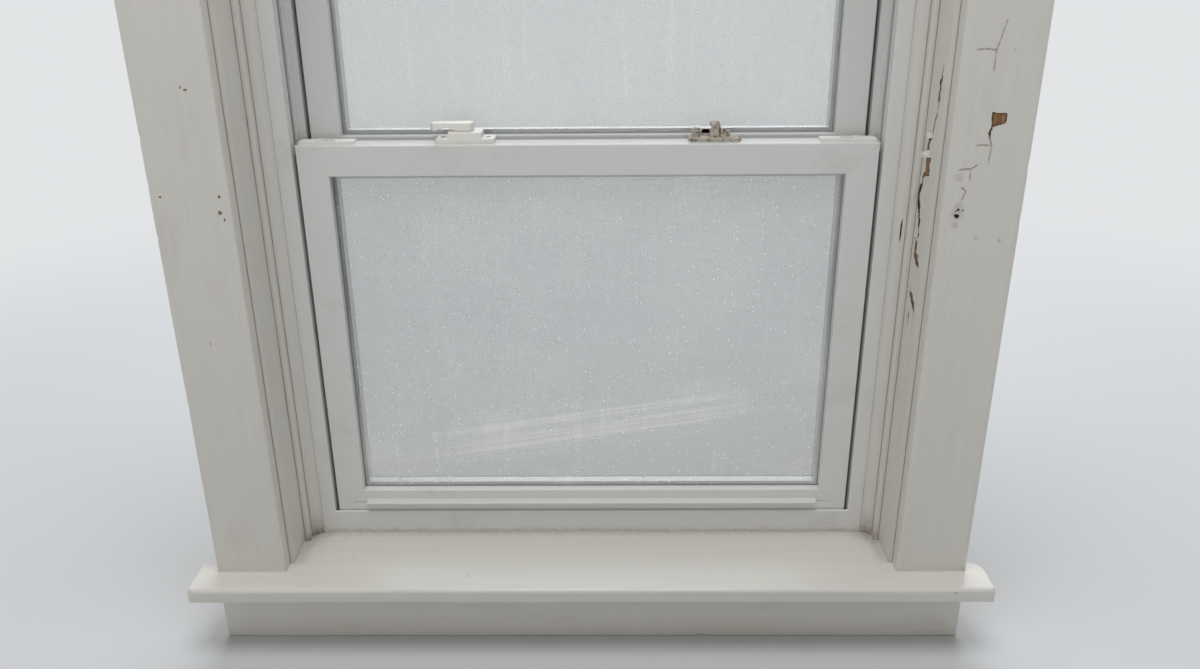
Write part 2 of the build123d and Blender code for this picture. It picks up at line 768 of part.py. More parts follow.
def balance(prefix, half, front, bottom, track, coil_height):
    """Pivot pins, shoes, coil springs, their carriers and the spring ribbons of one sash."""
    depth = front + slot_middle
    pin_level = bottom + pin_height
    shoe_top = pin_level + shoe_above
    shoe_inner = track + frame_wall + slide_clearance
    shoe_outer = pocket_back - slide_clearance
    ribbon_outer = shoe_outer - slide_clearance
    coil_centre = ribbon_outer - ribbon_thickness - coil_radius
    with BuildPart() as pins:
        for side, sign in sides:
            with BuildSketch(Plane.YZ.offset(sign * (half - pin_engagement))):
                with Locations((depth, pin_level)):
                    Circle(pin_diameter / 2)
            extrude(amount=sign * (pin_engagement + pin_reach))
    write(pins, f"{prefix}_pivot_pins")
    with BuildPart() as shoes:
        for side, sign in sides:
            with BuildSketch(Plane.XY.offset(pin_level - shoe_below)):
                with Locations((sign * (shoe_inner + shoe_outer) / 2, depth)):
                    block = Rectangle(shoe_outer - shoe_inner, pocket_depth - 2 * slide_clearance)
                chamfer(block.vertices(), shoe_edge)
            extrude(amount=shoe_below + shoe_above)
            with BuildSketch(Plane.YZ.offset(sign * shoe_inner)):
                with Locations((depth, pin_level)):
                    Circle(pin_diameter / 2 + fit_clearance)
            bore_depth = half + pin_reach - shoe_inner + cavity_clearance
            extrude(amount=sign * bore_depth, mode=Mode.SUBTRACT)
    write(shoes, f"{prefix}_shoes")
    with BuildPart() as coils:
        for side, sign in sides:
            with BuildSketch(wall_plane(depth - ribbon_width / 2)):
                with Locations((sign * coil_centre, coil_height)):
                    Circle(coil_radius)
                    Circle(coil_bore_radius, mode=Mode.SUBTRACT)
            extrude(amount=-ribbon_width)
    write(coils, f"{prefix}_coils")
    with BuildPart() as carriers:
        inner_half = ribbon_width / 2 + 2 * fit_clearance
        carrier_reach = coil_radius - carrier_inset
        for side, sign in sides:
            near, far = sorted((sign * (coil_centre - carrier_reach), sign * pocket_back))
            cap_bottom = coil_height + coil_radius + cavity_clearance
            box_between(
                (near, depth - inner_half - carrier_cheek, cap_bottom),
                (far, depth + inner_half + carrier_cheek, cap_bottom + carrier_cap),
            )
            for face in (-1, 1):
                low, high = sorted((depth + face * inner_half, depth + face * (inner_half + carrier_cheek)))
                near, far = sorted(sign * (coil_centre + step * carrier_reach) for step in (-1, 1))
                box_between((near, low, coil_height - carrier_reach), (far, high, cap_bottom))
            with BuildSketch(wall_plane(depth - inner_half)):
                with Locations((sign * coil_centre, coil_height)):
                    Circle(coil_bore_radius - fit_clearance)
            extrude(amount=-2 * inner_half)
    write(carriers, f"{prefix}_coil_carriers")
    with BuildPart() as ribbons:
        for side, sign in sides:
            near, far = sorted((sign * (ribbon_outer - ribbon_thickness), sign * ribbon_outer))
            box_between(
                (near, depth - ribbon_width / 2, shoe_top), (far, depth + ribbon_width / 2, coil_height),
            )
    write(ribbons, f"{prefix}_ribbons")


def tilt_latches(prefix, half, front, top):
    """Latch plates on the top rail's ends and their bolts, which reach into the frame's slots."""
    depth = front + slot_middle
    plate_front = front + latch_setback
    for side, sign in sides:
        with BuildPart() as plate:
            with BuildSketch(Plane.XY.offset(top)):
                with Locations((sign * (half - latch_length / 2), plate_front + latch_depth / 2)):
                    Rectangle(latch_length, latch_depth)
            extrude(amount=latch_height)
            rim = plate.faces().sort_by(Axis.Z)[-1].edges()
            outer_end = rim.filter_by(Axis.Y).sort_by(Axis.X)[0 if sign < 0 else -1]
            chamfer(outer_end, latch_height / 2)
            rim = plate.faces().sort_by(Axis.Z)[-1].edges().filter_by(Axis.X)
            fillet(rim, latch_edge)
            slot_outer = half - button_setback + button_length / 2 + cavity_clearance
            slot_inner = half - button_setback - button_length / 2 - bolt_travel - cavity_clearance
            with BuildSketch(Plane.XY.offset(top)):
                with Locations((sign * (slot_outer + slot_inner) / 2, depth)):
                    Rectangle(slot_outer - slot_inner, button_width + 2 * cavity_clearance)
            extrude(amount=latch_height, mode=Mode.SUBTRACT)
        write(plate, f"{prefix}_latch_{side}")
        with BuildPart() as bolt:
            bolt_bottom = top - latch_pocket_depth + cavity_clearance
            near, far = sorted((sign * (half - bolt_tail), sign * (half + bolt_reach)))
            box_between(
                (near, depth - bolt_width / 2, bolt_bottom),
                (far, depth + bolt_width / 2, bolt_bottom + bolt_height),
            )
            tip = bolt.faces().sort_by(Axis.X)[0 if sign < 0 else -1]
            chamfer(tip.edges().filter_by(Axis.Z).sort_by(Axis.Y)[-1], bolt_bevel)
            button_top = top + latch_height + button_rise
            with BuildSketch(Plane.XY.offset(bolt_bottom + bolt_height)):
                with Locations((sign * (half - button_setback), depth)):
                    RectangleRounded(button_length, button_width, button_round)
            extrude(amount=button_top - bolt_bottom - bolt_height)
            with BuildSketch(Plane.XY.offset(button_top)):
                with Locations(*[(sign * (half - button_setback) + step * button_ridge * 2, depth)
                                 for step in (-1, 0, 1)]):
                    Rectangle(button_ridge, button_width - 2 * button_round)
            extrude(amount=button_ridge / 2)
        write(bolt, f"{prefix}_bolt_{side}")


glazing("lower", lower_half, lower_front, lower_bottom)
glazing("upper", upper_half, upper_front, upper_bottom)
lower_coil_height = lower_bottom + pin_height + shoe_above + sash_travel + ribbon_reserve
upper_coil_height = upper_top - upper_coil_drop
balance("lower", lower_half, lower_front, lower_bottom, track_lower, lower_coil_height)
balance("upper", upper_half, upper_front, upper_bottom, track_upper, upper_coil_height)
tilt_latches("lower", lower_half, lower_front, lower_top)
tilt_latches("upper", upper_half, upper_front, upper_top)

# Bulb seal under the lower sash, its stem pressed into the rail's groove
with BuildPart() as lower_seal:
    seal_depth = lower_front + slot_middle / 2
    box_between(
        (-lower_half + seal_end_gap, seal_depth - seal_stem / 2 + screw_clearance,
         lower_bottom - seal_radius),
        (lower_half - seal_end_gap, seal_depth + seal_stem / 2 - screw_clearance,
         lower_bottom + seal_stem_height - fit_clearance),
    )
    with BuildSketch(Plane.YZ.offset(-lower_half + seal_end_gap)):
        with Locations((seal_depth, lower_bottom - seal_radius - fit_clearance)):
            Circle(seal_radius)
    extrude(amount=2 * (lower_half - seal_end_gap))
write(lower_seal, "lower_seal")

# Complete cam lock: housing on the meeting rail, open at its back for the cam
lock_pivot = (-lock_offset, lock_front + lock_wall + cavity_clearance + cam_radius)
cam_heel_radius = lock_back - lock_pivot[1]
base_top = lower_top + lock_base_height
block_top = base_top + lock_block_height
cam_bottom = base_top + cam_lift
cavity_top = cam_bottom + cam_thickness + cam_lift
with BuildPart() as lock_housing:
    with BuildSketch(Plane.XY.offset(lower_top)):
        with Locations((-lock_offset, lock_screw_depth)):
            RectangleRounded(lock_length, lock_depth, lock_corner)
    extrude(amount=lock_base_height)
    fillet(lock_housing.faces().sort_by(Axis.Z)[-1].edges(), lock_edge)
    with BuildSketch(Plane.XY.offset(base_top - lock_edge)):
        with Locations((-lock_offset, lock_screw_depth)):
            Rectangle(lock_block_length, lock_depth)
    extrude(amount=lock_block_height + lock_edge)
    fillet(lock_housing.faces().sort_by(Axis.Z)[-1].edges(), lock_edge)
    box_between(
        (-lock_offset - cam_radius - cavity_clearance, lock_front + lock_wall, base_top),
        (-lock_offset + cam_radius + cavity_clearance, lock_back, cavity_top),
        mode=Mode.SUBTRACT,
    )
    with BuildSketch(Plane.XY.offset(cavity_top)):
        with Locations(lock_pivot):
            Circle(lock_shaft_diameter / 2 + fit_clearance)
    extrude(amount=block_top - cavity_top, mode=Mode.SUBTRACT)
    with Locations(*[(place, lock_screw_depth, base_top) for place in lock_screw_places[:2]]):
        CounterBoreHole(
            screw_diameter / 2 + screw_clearance, screw_head_diameter / 2 + screw_clearance,
            screw_head_height + screw_sink, lock_base_height,
        )
write(lock_housing, "lock_housing_left")

with BuildPart() as lock_cam:
    with BuildSketch(Plane.XY.offset(cam_bottom)):
        with Locations(lock_pivot):
            Circle(cam_heel_radius)
        with Locations((lock_pivot[0], lock_pivot[1] - cam_radius + cam_tip_radius)):
            Circle(cam_tip_radius)
        make_hull()
    extrude(amount=cam_thickness)
    with BuildSketch(Plane.XY.offset(cam_bottom)):
        with Locations(lock_pivot):
            Circle(lock_shaft_diameter / 2)
    extrude(amount=block_top + step_gap + lever_bore - cam_bottom)
write(lock_cam, "lock_cam_left")

# Arched thumb lever, pointing left when the lock is open
lever_bottom = block_top + step_gap
with BuildPart() as lock_lever:
    with BuildSketch(Plane.XY.offset(lever_bottom)):
        with Locations(lock_pivot):
            Circle(lever_hub_radius)
        with Locations((lock_pivot[0] - lever_length + lever_tip_width / 2, lock_pivot[1])):
            Circle(lever_tip_width / 2)
        make_hull()
    extrude(amount=lever_height)
    with BuildSketch(wall_plane(lock_pivot[1] - lever_hub_radius)):
        with BuildLine():
            arch_near = lock_pivot[0] - lever_arch_start
            arch_far = lock_pivot[0] - lever_arch_end
            Line((arch_far, lever_bottom), (arch_near, lever_bottom))
            ThreePointArc(
                (arch_near, lever_bottom), ((arch_near + arch_far) / 2, lever_bottom + lever_arch),
                (arch_far, lever_bottom),
            )
        make_face()
    extrude(amount=-2 * lever_hub_radius, mode=Mode.SUBTRACT)
    fillet(lock_lever.faces().sort_by(Axis.Z)[-1].edges(), lever_edge)
    with BuildSketch(Plane.XY.offset(lever_bottom)):
        with Locations(lock_pivot):
            Circle(lock_shaft_diameter / 2 + screw_clearance)
    extrude(amount=lever_bore + screw_clearance, mode=Mode.SUBTRACT)
write(lock_lever, "lock_lever_left")

# Broken lock: its cover and lever are gone, and the bare base, one boss and the seized hub are left
broken_top = lower_top + broken_base_height
boss_place, ear_place = lock_screw_places[2:]
with BuildPart() as broken_base:
    with BuildSketch(Plane.XY.offset(lower_top)):
        with Locations((broken_lock_offset, lock_screw_depth)):
            plate = Rectangle(broken_base_length, lock_depth)
        chamfer(plate.vertices(), broken_base_corner)
    extrude(amount=broken_base_height)
    with BuildSketch(Plane.XY.offset(broken_top)):
        with Locations((boss_place, lock_screw_depth)):
            Circle(broken_boss_radius)
    extrude(amount=broken_boss_height)
    fillet(broken_base.faces().sort_by(Axis.Z)[-1].edges(), lock_edge)
    # Stump of the lost cover's wall beside the hub, snapped off at a slant
    stump_near = broken_lock_offset + broken_hub_size / 2 + cavity_clearance
    stump_top = broken_top + broken_wall_height
    with BuildSketch(wall_plane(lock_screw_depth - broken_wall_depth / 2)):
        with BuildLine():
            Polyline(
                (stump_near, broken_top), (stump_near, stump_top),
                (stump_near + broken_wall_width, stump_top - broken_wall_slant),
                (stump_near + broken_wall_width, broken_top), close=True,
            )
        make_face()
    extrude(amount=-broken_wall_depth)
    with BuildSketch(Plane.XY.offset(broken_top)):
        with Locations((broken_lock_offset + broken_stub_offset, lock_screw_depth)):
            Circle(broken_stub_radius)
    extrude(amount=broken_stub_height)
    with BuildSketch(Plane.XY.offset(lower_top)):
        with Locations((boss_place, lock_screw_depth), (ear_place, lock_screw_depth)):
            Circle(screw_diameter / 2 + screw_clearance)
    extrude(amount=broken_base_height + broken_boss_height, mode=Mode.SUBTRACT)
write(broken_base, "lock_base_right")

with BuildPart() as broken_hub:
    with BuildSketch(Plane.XY.offset(broken_top)):
        with Locations((broken_lock_offset, lock_screw_depth)):
            Rectangle(broken_hub_size, broken_hub_size)
    extrude(amount=broken_hub_height)
    fillet(broken_hub.edges().filter_by(Axis.Z), lock_corner)
    chamfer(broken_hub.faces().sort_by(Axis.Z)[-1].edges(), broken_hub_bevel)
    with BuildSketch(wall_plane(lock_screw_depth - broken_hub_size / 2)):
        with Locations((broken_lock_offset - broken_hub_size / 2, broken_top + broken_hub_notch_height)):
            Rectangle(broken_hub_notch, broken_hub_notch)
    extrude(amount=-broken_hub_size, mode=Mode.SUBTRACT)
write(broken_hub, "lock_hub_right")

# Lock screws: two through the complete lock's ears, one left in the broken lock's boss
with BuildPart() as lock_screws:
    seats = [(place, base_top - screw_head_height - screw_sink) for place in lock_screw_places[:2]]
    seats.append((boss_place, broken_top + broken_boss_height))
    for place, seat in seats:
        with BuildSketch(Plane.XY.offset(seat)):
            with Locations((place, lock_screw_depth)):
                Circle(screw_diameter / 2)
        extrude(amount=lower_top - screw_length + cavity_clearance - seat)
        with BuildSketch(Plane.XY.offset(seat)):
            with Locations((place, lock_screw_depth)):
                Circle(screw_head_diameter / 2)
        extrude(amount=screw_head_height)
        with BuildSketch(Plane.XY.offset(seat + screw_head_height)):
            with Locations((place, lock_screw_depth)):
                Rectangle(screw_recess_length, screw_recess_width)
                Rectangle(screw_recess_width, screw_recess_length)
        extrude(amount=-screw_recess, mode=Mode.SUBTRACT)
write(lock_screws, "lock_screws")

# Keepers on the upper sash's bottom rail, hooded over the cams' path
with BuildPart() as keepers:
    keeper_bottom = upper_bottom + sash_face
    keeper_front = upper_front + step_gap
    keeper_back = upper_front + glass_reveal - slide_clearance
    mouth_bottom, mouth_top = cam_bottom - cavity_clearance, cam_bottom + cam_thickness + cavity_clearance
    mouth_back = lock_pivot[1] + cam_radius + slide_clearance
    for centre in (-lock_offset, broken_lock_offset):
        box_between(
            (centre - cam_radius, keeper_front, keeper_bottom),
            (centre + cam_radius, keeper_back, mouth_top + keeper_wall),
        )
        box_between(
            (centre - cam_radius + keeper_wall, keeper_front, mouth_bottom),
            (centre + cam_radius - keeper_wall, mouth_back, mouth_top),
            mode=Mode.SUBTRACT,
        )
    fillet(keepers.faces().sort_by(Axis.Z)[-2:].edges().filter_by(Axis.X), lock_edge)
write(keepers, "lock_keepers")

# Half insect screen in the outdoor track, below the upper sash
screen_front = lip_back + (screen_track_width - screen_bar_thickness) / 2
screen_half = track_upper - cavity_clearance
screen_bottom = (
    pan_top - upper_pan_drop
    - pan_fall * (screen_front - parting_face) / (screen_lip_front - parting_face) + step_gap
)
screen_top = upper_bottom + screen_lap
screen_height = screen_top - screen_bottom
groove_outer = screen_bar_width - screen_groove_inset - screen_groove_width
groove_inner = screen_bar_width - screen_groove_inset
screen_middle = (screen_bottom + screen_top) / 2
with BuildPart() as screen_frame:
    with BuildSketch(wall_plane(screen_front)):
        for outline in mitred_outlines(screen_half, screen_bottom, screen_top, 0, screen_bar_width):
            with BuildLine():
                Polyline(*outline, close=True)
            make_face()
    extrude(amount=-screen_bar_thickness)
    with BuildSketch(wall_plane(screen_front)):
        with Locations((0, screen_middle)):
            Rectangle(2 * (screen_half - groove_outer), screen_height - 2 * groove_outer)
            Rectangle(2 * (screen_half - groove_inner), screen_height - 2 * groove_inner, mode=Mode.SUBTRACT)
    extrude(amount=-screen_groove_depth, mode=Mode.SUBTRACT)
write(screen_frame, "screen_frame")

with BuildPart() as screen_mesh:
    with BuildSketch(wall_plane(screen_front - screen_mesh_thickness)):
        with Locations((0, screen_middle)):
            Rectangle(2 * (screen_half - groove_inner), screen_height - 2 * groove_inner)
    extrude(amount=-screen_mesh_thickness)
write(screen_mesh, "screen_mesh")

with BuildPart() as screen_spline:
    with BuildSketch(wall_plane(screen_front - screen_mesh_thickness)):
        with Locations((0, screen_middle)):
            outer = groove_outer + fit_clearance
            inner = groove_inner - fit_clearance
            Rectangle(2 * (screen_half - outer), screen_height - 2 * outer)
            Rectangle(2 * (screen_half - inner), screen_height - 2 * inner, mode=Mode.SUBTRACT)
    extrude(amount=-screen_groove_depth)
write(screen_spline, "screen_spline")
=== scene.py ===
"""Finishes of an old sash window: painted boards, vinyl sashes, glass, locks, balances and insect screen.

Metres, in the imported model's frame. +Z is up, +X is to the right seen from the room, +Y points outdoors.
"""

import json
import math
import random

import bmesh
import bpy
import numpy as np
from mathutils import Matrix, Vector, noise

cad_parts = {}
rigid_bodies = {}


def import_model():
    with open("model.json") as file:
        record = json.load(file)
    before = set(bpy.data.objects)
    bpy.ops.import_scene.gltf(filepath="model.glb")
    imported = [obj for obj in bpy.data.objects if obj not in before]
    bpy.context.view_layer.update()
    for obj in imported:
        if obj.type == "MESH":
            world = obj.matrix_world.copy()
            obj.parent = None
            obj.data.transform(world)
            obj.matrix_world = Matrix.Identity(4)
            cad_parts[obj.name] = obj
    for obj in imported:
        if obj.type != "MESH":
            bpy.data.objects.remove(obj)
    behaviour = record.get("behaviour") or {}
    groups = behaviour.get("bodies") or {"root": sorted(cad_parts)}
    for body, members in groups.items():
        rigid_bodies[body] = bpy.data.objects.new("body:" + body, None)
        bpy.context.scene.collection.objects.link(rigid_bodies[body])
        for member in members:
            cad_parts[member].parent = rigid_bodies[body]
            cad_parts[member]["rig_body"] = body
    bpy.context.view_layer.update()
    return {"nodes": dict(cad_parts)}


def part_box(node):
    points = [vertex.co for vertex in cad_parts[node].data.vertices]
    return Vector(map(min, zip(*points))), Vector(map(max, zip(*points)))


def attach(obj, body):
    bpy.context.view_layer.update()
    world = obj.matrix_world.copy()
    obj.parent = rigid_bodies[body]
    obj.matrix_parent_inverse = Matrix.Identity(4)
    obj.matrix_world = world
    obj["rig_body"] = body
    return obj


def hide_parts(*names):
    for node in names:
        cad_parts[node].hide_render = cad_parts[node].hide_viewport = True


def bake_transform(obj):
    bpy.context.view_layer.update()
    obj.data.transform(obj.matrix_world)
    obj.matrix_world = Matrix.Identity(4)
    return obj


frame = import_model()

bl_info = {
    "name": "Old sash window",
    "version": (1, 0, 0),
    "blender": (4, 5, 0),
    "location": "3D View > Sidebar > Sash window",
    "description": "Dresses a packed sash window with its paint, vinyl, glass, locks and wear",
    "category": "Object",
}

MM = 0.001
LEFT, RIGHT = -1, 1
SIDES = {"left": LEFT, "right": RIGHT}
HALVES = ("lower", "upper")
ACROSS, DEPTH, UP = 0, 1, 2
WAYS = {ACROSS: "level", UP: "upright"}

# The backdrop's strength, and how much of its colour the floor has where it takes the shadow
BACKDROP_LEVEL = 1.0
FLOOR_SHARE = 0.82

# The dust's emission, painted light that stands in for daylight scattered through it, and the smear that a
# hand left on the lower pane: its tilt, place and size
DUST_PAINTED_BACKLIGHT = 0.22
SMEAR_TILT = math.radians(8.7)
SMEAR_HEIGHT = 0.252
SMEAR_WIDTH = 0.045
SMEAR_MIDDLE = 0.05
SMEAR_REACH = 0.26

# Distance between two holes of the strip between the panes
SPACER_HOLE_PITCH = 0.004

# How far a sash's frame reaches in from its edge, and the width of the weld lines in its corners
SASH_FACE = 36.0 * MM
WELD_LINE = 0.35 * MM


def linear(red, green, blue):
    """The linear colour of screen values from 0 to 255."""
    shares = [value / 255 for value in (red, green, blue)]
    return tuple(s / 12.92 if s <= 0.04045 else ((s + 0.055) / 1.055) ** 2.4 for s in shares)


def colour(name, description, *screen_values):
    """A colour that a user can change."""
    return bpy.props.FloatVectorProperty(
        name=name, description=description, subtype="COLOR", size=3, min=0.0, max=1.0,
        default=linear(*screen_values))


def length(name, description, millimetres):
    """A length that a user can change, given in millimetres."""
    return bpy.props.FloatProperty(
        name=name, description=description, unit="LENGTH", min=0.0, precision=5, default=millimetres * MM)


class SashWindowColours(bpy.types.PropertyGroup):
    """Colours of the window's finishes."""

    trim_paint: colour("Trim paint", "Old oil paint on the boards around the window", 222, 219, 212)
    trim_stain: colour("Trim stain", "Yellowed and smoky patches on that paint", 180, 168, 150)
    # This colour also paints the shadow in cracks and the darkening where boards meet.
    grime_and_shade: colour("Grime", "Dirt that has settled in corners", 98, 76, 52)
    old_wood: colour("Old wood", "Brown wood under torn paint", 158, 120, 80)
    old_wood_dark: colour("Old wood grain", "Dark grain of the old wood", 116, 82, 52)
    new_wood: colour("Shim wood", "Pale wood of the shims", 196, 162, 116)
    new_wood_dark: colour("Shim wood grain", "Grain of the shims", 158, 121, 78)
    vinyl: colour("Vinyl", "White vinyl of frame and sashes", 226, 226, 224)
    vinyl_soil: colour("Vinyl soil", "Handling marks and dust on the vinyl", 168, 162, 152)
    plastic: colour("Latch plastic", "Moulded latches, shoes and coil carriers", 224, 224, 219)
    spacer: colour("Spacer metal", "Metal strip between the panes", 150, 153, 155)
    rubber: colour("Rubber", "Seal and spline", 58, 58, 57)
    screen_white: colour("Screen frame", "White enamel of the insect screen's frame", 222, 222, 219)
    screen_wire: colour("Screen wire", "Charcoal strands of the insect screen", 118, 120, 120)
    zinc: colour("Zinc", "Plated screws, pins and lock parts", 156, 155, 150)
    lock_paint: colour("Lock paint", "Baked paint on the cast lock", 184, 181, 174)
    corrosion: colour("Corrosion", "Brown bloom on the broken lock", 116, 98, 80)
    corrosion_pale: colour("Pale corrosion", "Cream crust on the broken lock", 206, 197, 184)
    dust: colour("Dust", "Dust and dried drops on the glass", 240, 240, 237)
    floor: colour("Floor", "Floor and backdrop", 226, 228, 230)


class SashWindowSizes(bpy.types.PropertyGroup):
    """Sizes of the finishes' details."""

    board_step: length("Board step", "Spacing of the cuts that let a board's faces wave", 5.0)
    board_wave: length("Board wave", "Height of the waves in old boards", 0.35)
    brush_mark: length("Brush mark", "Width of a brush mark in the paint", 1.1)
    paint_skin: length("Paint skin", "Thickness of the layers of old paint", 0.45)
    tear_step: length("Tear step", "Size of the faces round torn paint", 0.9)
    vinyl_edge: length("Vinyl edge", "Rounding of the vinyl's edges", 0.5)
    screen_pitch: length("Screen pitch", "Spacing of the screen's strands", 1.5)
    screen_strand: length("Screen strand", "Thickness of a strand", 0.2)
    cast_step: length("Cast step", "Size of the faces of cast lock parts", 0.38)
    coil_pitch: length("Coil pitch", "Distance between two turns of a balance spring", 0.5)
    coil_steel: length("Coil steel", "Thickness of a balance spring's steel", 0.3)


def colours():
    """The colours that the scene holds."""
    return bpy.context.scene.sash_window_colours


def sizes():
    """The sizes that the scene holds."""
    return bpy.context.scene.sash_window_sizes


class Graph:
    """Adds and links the nodes of one tree in short lines."""

    def __init__(self, tree):
        self.tree = tree

    def feed(self, socket, value):
        """Links a socket to another, or gives it a plain value."""
        if isinstance(value, bpy.types.NodeSocket):
            self.tree.links.new(value, socket)
        elif socket.type == "RGBA" and len(value) == 3:
            socket.default_value = (*value, 1.0)
        else:
            socket.default_value = value

    def fill(self, node, inputs):
        """Gives a node several inputs."""
        for socket, value in inputs.items():
            self.feed(node.inputs[socket], value)

    def add(self, kind, inputs=None, **settings):
        """Adds a node with its settings and inputs."""
        node = self.tree.nodes.new(kind)
        for name, value in settings.items():
            setattr(node, name, value)
        self.fill(node, inputs or {})
        return node

    def maths(self, operation, *values, clamp=False):
        """The result of a Math node."""
        step = self.add("ShaderNodeMath", dict(enumerate(values)), operation=operation, use_clamp=clamp)
        return step.outputs[0]

    def plus(self, first, second, clamp=False):
        """The sum of two values."""
        return self.maths("ADD", first, second, clamp=clamp)

    def minus(self, first, second, clamp=False):
        """The first value less the second."""
        return self.maths("SUBTRACT", first, second, clamp=clamp)

    def times(self, first, second, clamp=False):
        """The product of two values."""
        return self.maths("MULTIPLY", first, second, clamp=clamp)

    def over(self, first, second):
        """The first value divided by the second."""
        return self.maths("DIVIDE", first, second)

    def apart(self, first, second):
        """How far two values are apart."""
        return self.maths("ABSOLUTE", self.minus(first, second))

    def shaded(self, share, tint, darker):
        """A colour that turns into a darker share of itself."""
        return self.mixed(share, tint, tuple(value * darker for value in tint))

    def vector(self, operation, first, second):
        """The vector that a Vector Math node gives."""
        return self.add("ShaderNodeVectorMath", {0: first, 1: second}, operation=operation).outputs[0]

    def parts(self, vector):
        """A vector's three parts."""
        return self.add("ShaderNodeSeparateXYZ", {0: vector}).outputs

    def span(self, value, low, high, to_low=0.0, to_high=1.0):
        """A value's place between low and high, softened at both ends."""
        settings = {"Value": value, "From Min": low, "From Max": high, "To Min": to_low, "To Max": to_high}
        return self.add("ShaderNodeMapRange", settings, interpolation_type="SMOOTHSTEP").outputs[0]

    def mixed(self, share, first, second):
        """The colour between two colours."""
        return self.add("ShaderNodeMix", {0: share, 6: first, 7: second}, data_type="RGBA").outputs[2]

    def cloud(self, vector, scale, detail=2.0, roughness=0.5, distortion=0.0):
        """The value of a noise texture."""
        settings = {"Vector": vector, "Scale": scale, "Detail": detail, "Roughness": roughness,
                    "Distortion": distortion}
        return self.add("ShaderNodeTexNoise", settings).outputs[0]

    def place(self):
        """The point's own place on the object."""
        return self.add("ShaderNodeTexCoord").outputs["Object"]

    def stretched(self, vector, run, share):
        """The place with one axis shortened, so that a pattern runs along that axis."""
        factors = [1.0, 1.0, 1.0]
        factors[run] = share
        return self.vector("MULTIPLY", vector, factors)

    def mark(self, name):
        """A mark that the mesh carries, such as its grime and painted shade."""
        return self.add("ShaderNodeAttribute", attribute_name=name).outputs["Fac"]

    def use(self, name, inputs):
        """A shared effect with its own values; gives its outputs."""
        if name not in bpy.data.node_groups:
            EFFECTS[name](name)
        return self.add("ShaderNodeGroup", inputs, node_tree=bpy.data.node_groups[name]).outputs

    def soil(self, vector, patch_size, share):
        """How far clouds of dirt or yellowing cover a place."""
        return self.use("Soiling", {"Vector": vector, "Patch Size": patch_size, "Share": share})["Mask"]

    def bump(self, height, strength, distance):
        """A bumped normal."""
        settings = {"Height": height, "Strength": strength, "Distance": distance}
        return self.add("ShaderNodeBump", settings).outputs[0]

    def show(self, shader):
        """Sends a shader to the material's output."""
        output = next(node for node in self.tree.nodes if node.type == "OUTPUT_MATERIAL")
        self.feed(output.inputs["Surface"], shader.outputs[0])


def start_effect(name, inputs, outputs):
    """Starts a shared effect with vector or float inputs and float outputs."""
    tree = bpy.data.node_groups.new(name, "ShaderNodeTree")
    for label, default in inputs.items():
        kind = "NodeSocketVector" if default is None else "NodeSocketFloat"
        socket = tree.interface.new_socket(name=label, in_out="INPUT", socket_type=kind)
        if default is not None:
            socket.default_value = default
    for label in outputs:
        tree.interface.new_socket(name=label, in_out="OUTPUT", socket_type="NodeSocketFloat")
    graph = Graph(tree)
    return graph, graph.add("NodeGroupInput").outputs, graph.add("NodeGroupOutput").inputs


def brush_strokes(name):
    """Marks that a brush leaves in thick paint."""
    graph, given, result = start_effect(name, {"Vector": None, "Stroke Width": 0.001}, ["Height", "Tone"])
    fine = graph.cloud(given["Vector"], graph.over(1.0, given["Stroke Width"]), detail=3.0, roughness=0.6)
    broad = graph.cloud(given["Vector"], graph.over(0.16, given["Stroke Width"]))
    graph.feed(result["Height"], graph.plus(graph.times(fine, 0.6), graph.times(broad, 0.4)))
    graph.feed(result["Tone"], graph.span(broad, 0.35, 0.65))


def soiling(name):
    """Clouds of dirt or yellowing."""
    graph, given, result = start_effect(name, {"Vector": None, "Patch Size": 0.05, "Share": 0.3}, ["Mask"])
    cloud = graph.cloud(given["Vector"], graph.over(1.0, given["Patch Size"]), detail=6.0, roughness=0.62)
    low = graph.minus(0.68, graph.times(given["Share"], 0.4))
    graph.feed(result["Mask"], graph.span(cloud, low, graph.plus(low, 0.16)))


def specks(name, dimensions="3D"):
    """Scattered round dots; in 2D they lie in the plane of the vector's first two parts."""
    inputs = {"Vector": None, "Spacing": 0.01, "Size": 0.2, "Share": 0.3}
    graph, given, result = start_effect(name, inputs, ["Mask"])
    cells = graph.add("ShaderNodeTexVoronoi",
                      {"Vector": given["Vector"], "Scale": graph.over(1.0, given["Spacing"])},
                      voronoi_dimensions=dimensions)
    chance = graph.parts(cells.outputs["Color"])
    reach = graph.times(given["Size"], graph.plus(chance[1], 0.2))
    dot = graph.maths("LESS_THAN", cells.outputs["Distance"], reach)
    kept = graph.maths("LESS_THAN", chance[0], given["Share"])
    graph.feed(result["Mask"], graph.times(dot, kept))


def scratches(name):
    """Fine wandering lines with gaps."""
    graph, given, result = start_effect(name, {"Vector": None, "Spacing": 0.02, "Width": 0.02}, ["Mask"])
    scale = graph.over(1.0, given["Spacing"])
    field = graph.cloud(given["Vector"], scale, distortion=0.5)
    line = graph.minus(1.0, graph.over(graph.apart(field, 0.5), given["Width"]), clamp=True)
    gate = graph.cloud(given["Vector"], graph.times(scale, 0.4), detail=1.0)
    graph.feed(result["Mask"], graph.times(line, graph.span(gate, 0.52, 0.62)))


def wood_grain(name):
    """Growth rings and pores of a sawn board; the vector is stretched along the board."""
    graph, given, result = start_effect(name, {"Vector": None}, ["Tone", "Height"])
    rings = graph.cloud(given["Vector"], 90.0, detail=4.0, roughness=0.65, distortion=1.4)
    pores = graph.cloud(given["Vector"], 900.0, roughness=0.7)
    tone = graph.plus(graph.times(rings, 0.7), graph.times(pores, 0.3))
    graph.feed(result["Tone"], graph.span(tone, 0.38, 0.62))
    graph.feed(result["Height"], tone)


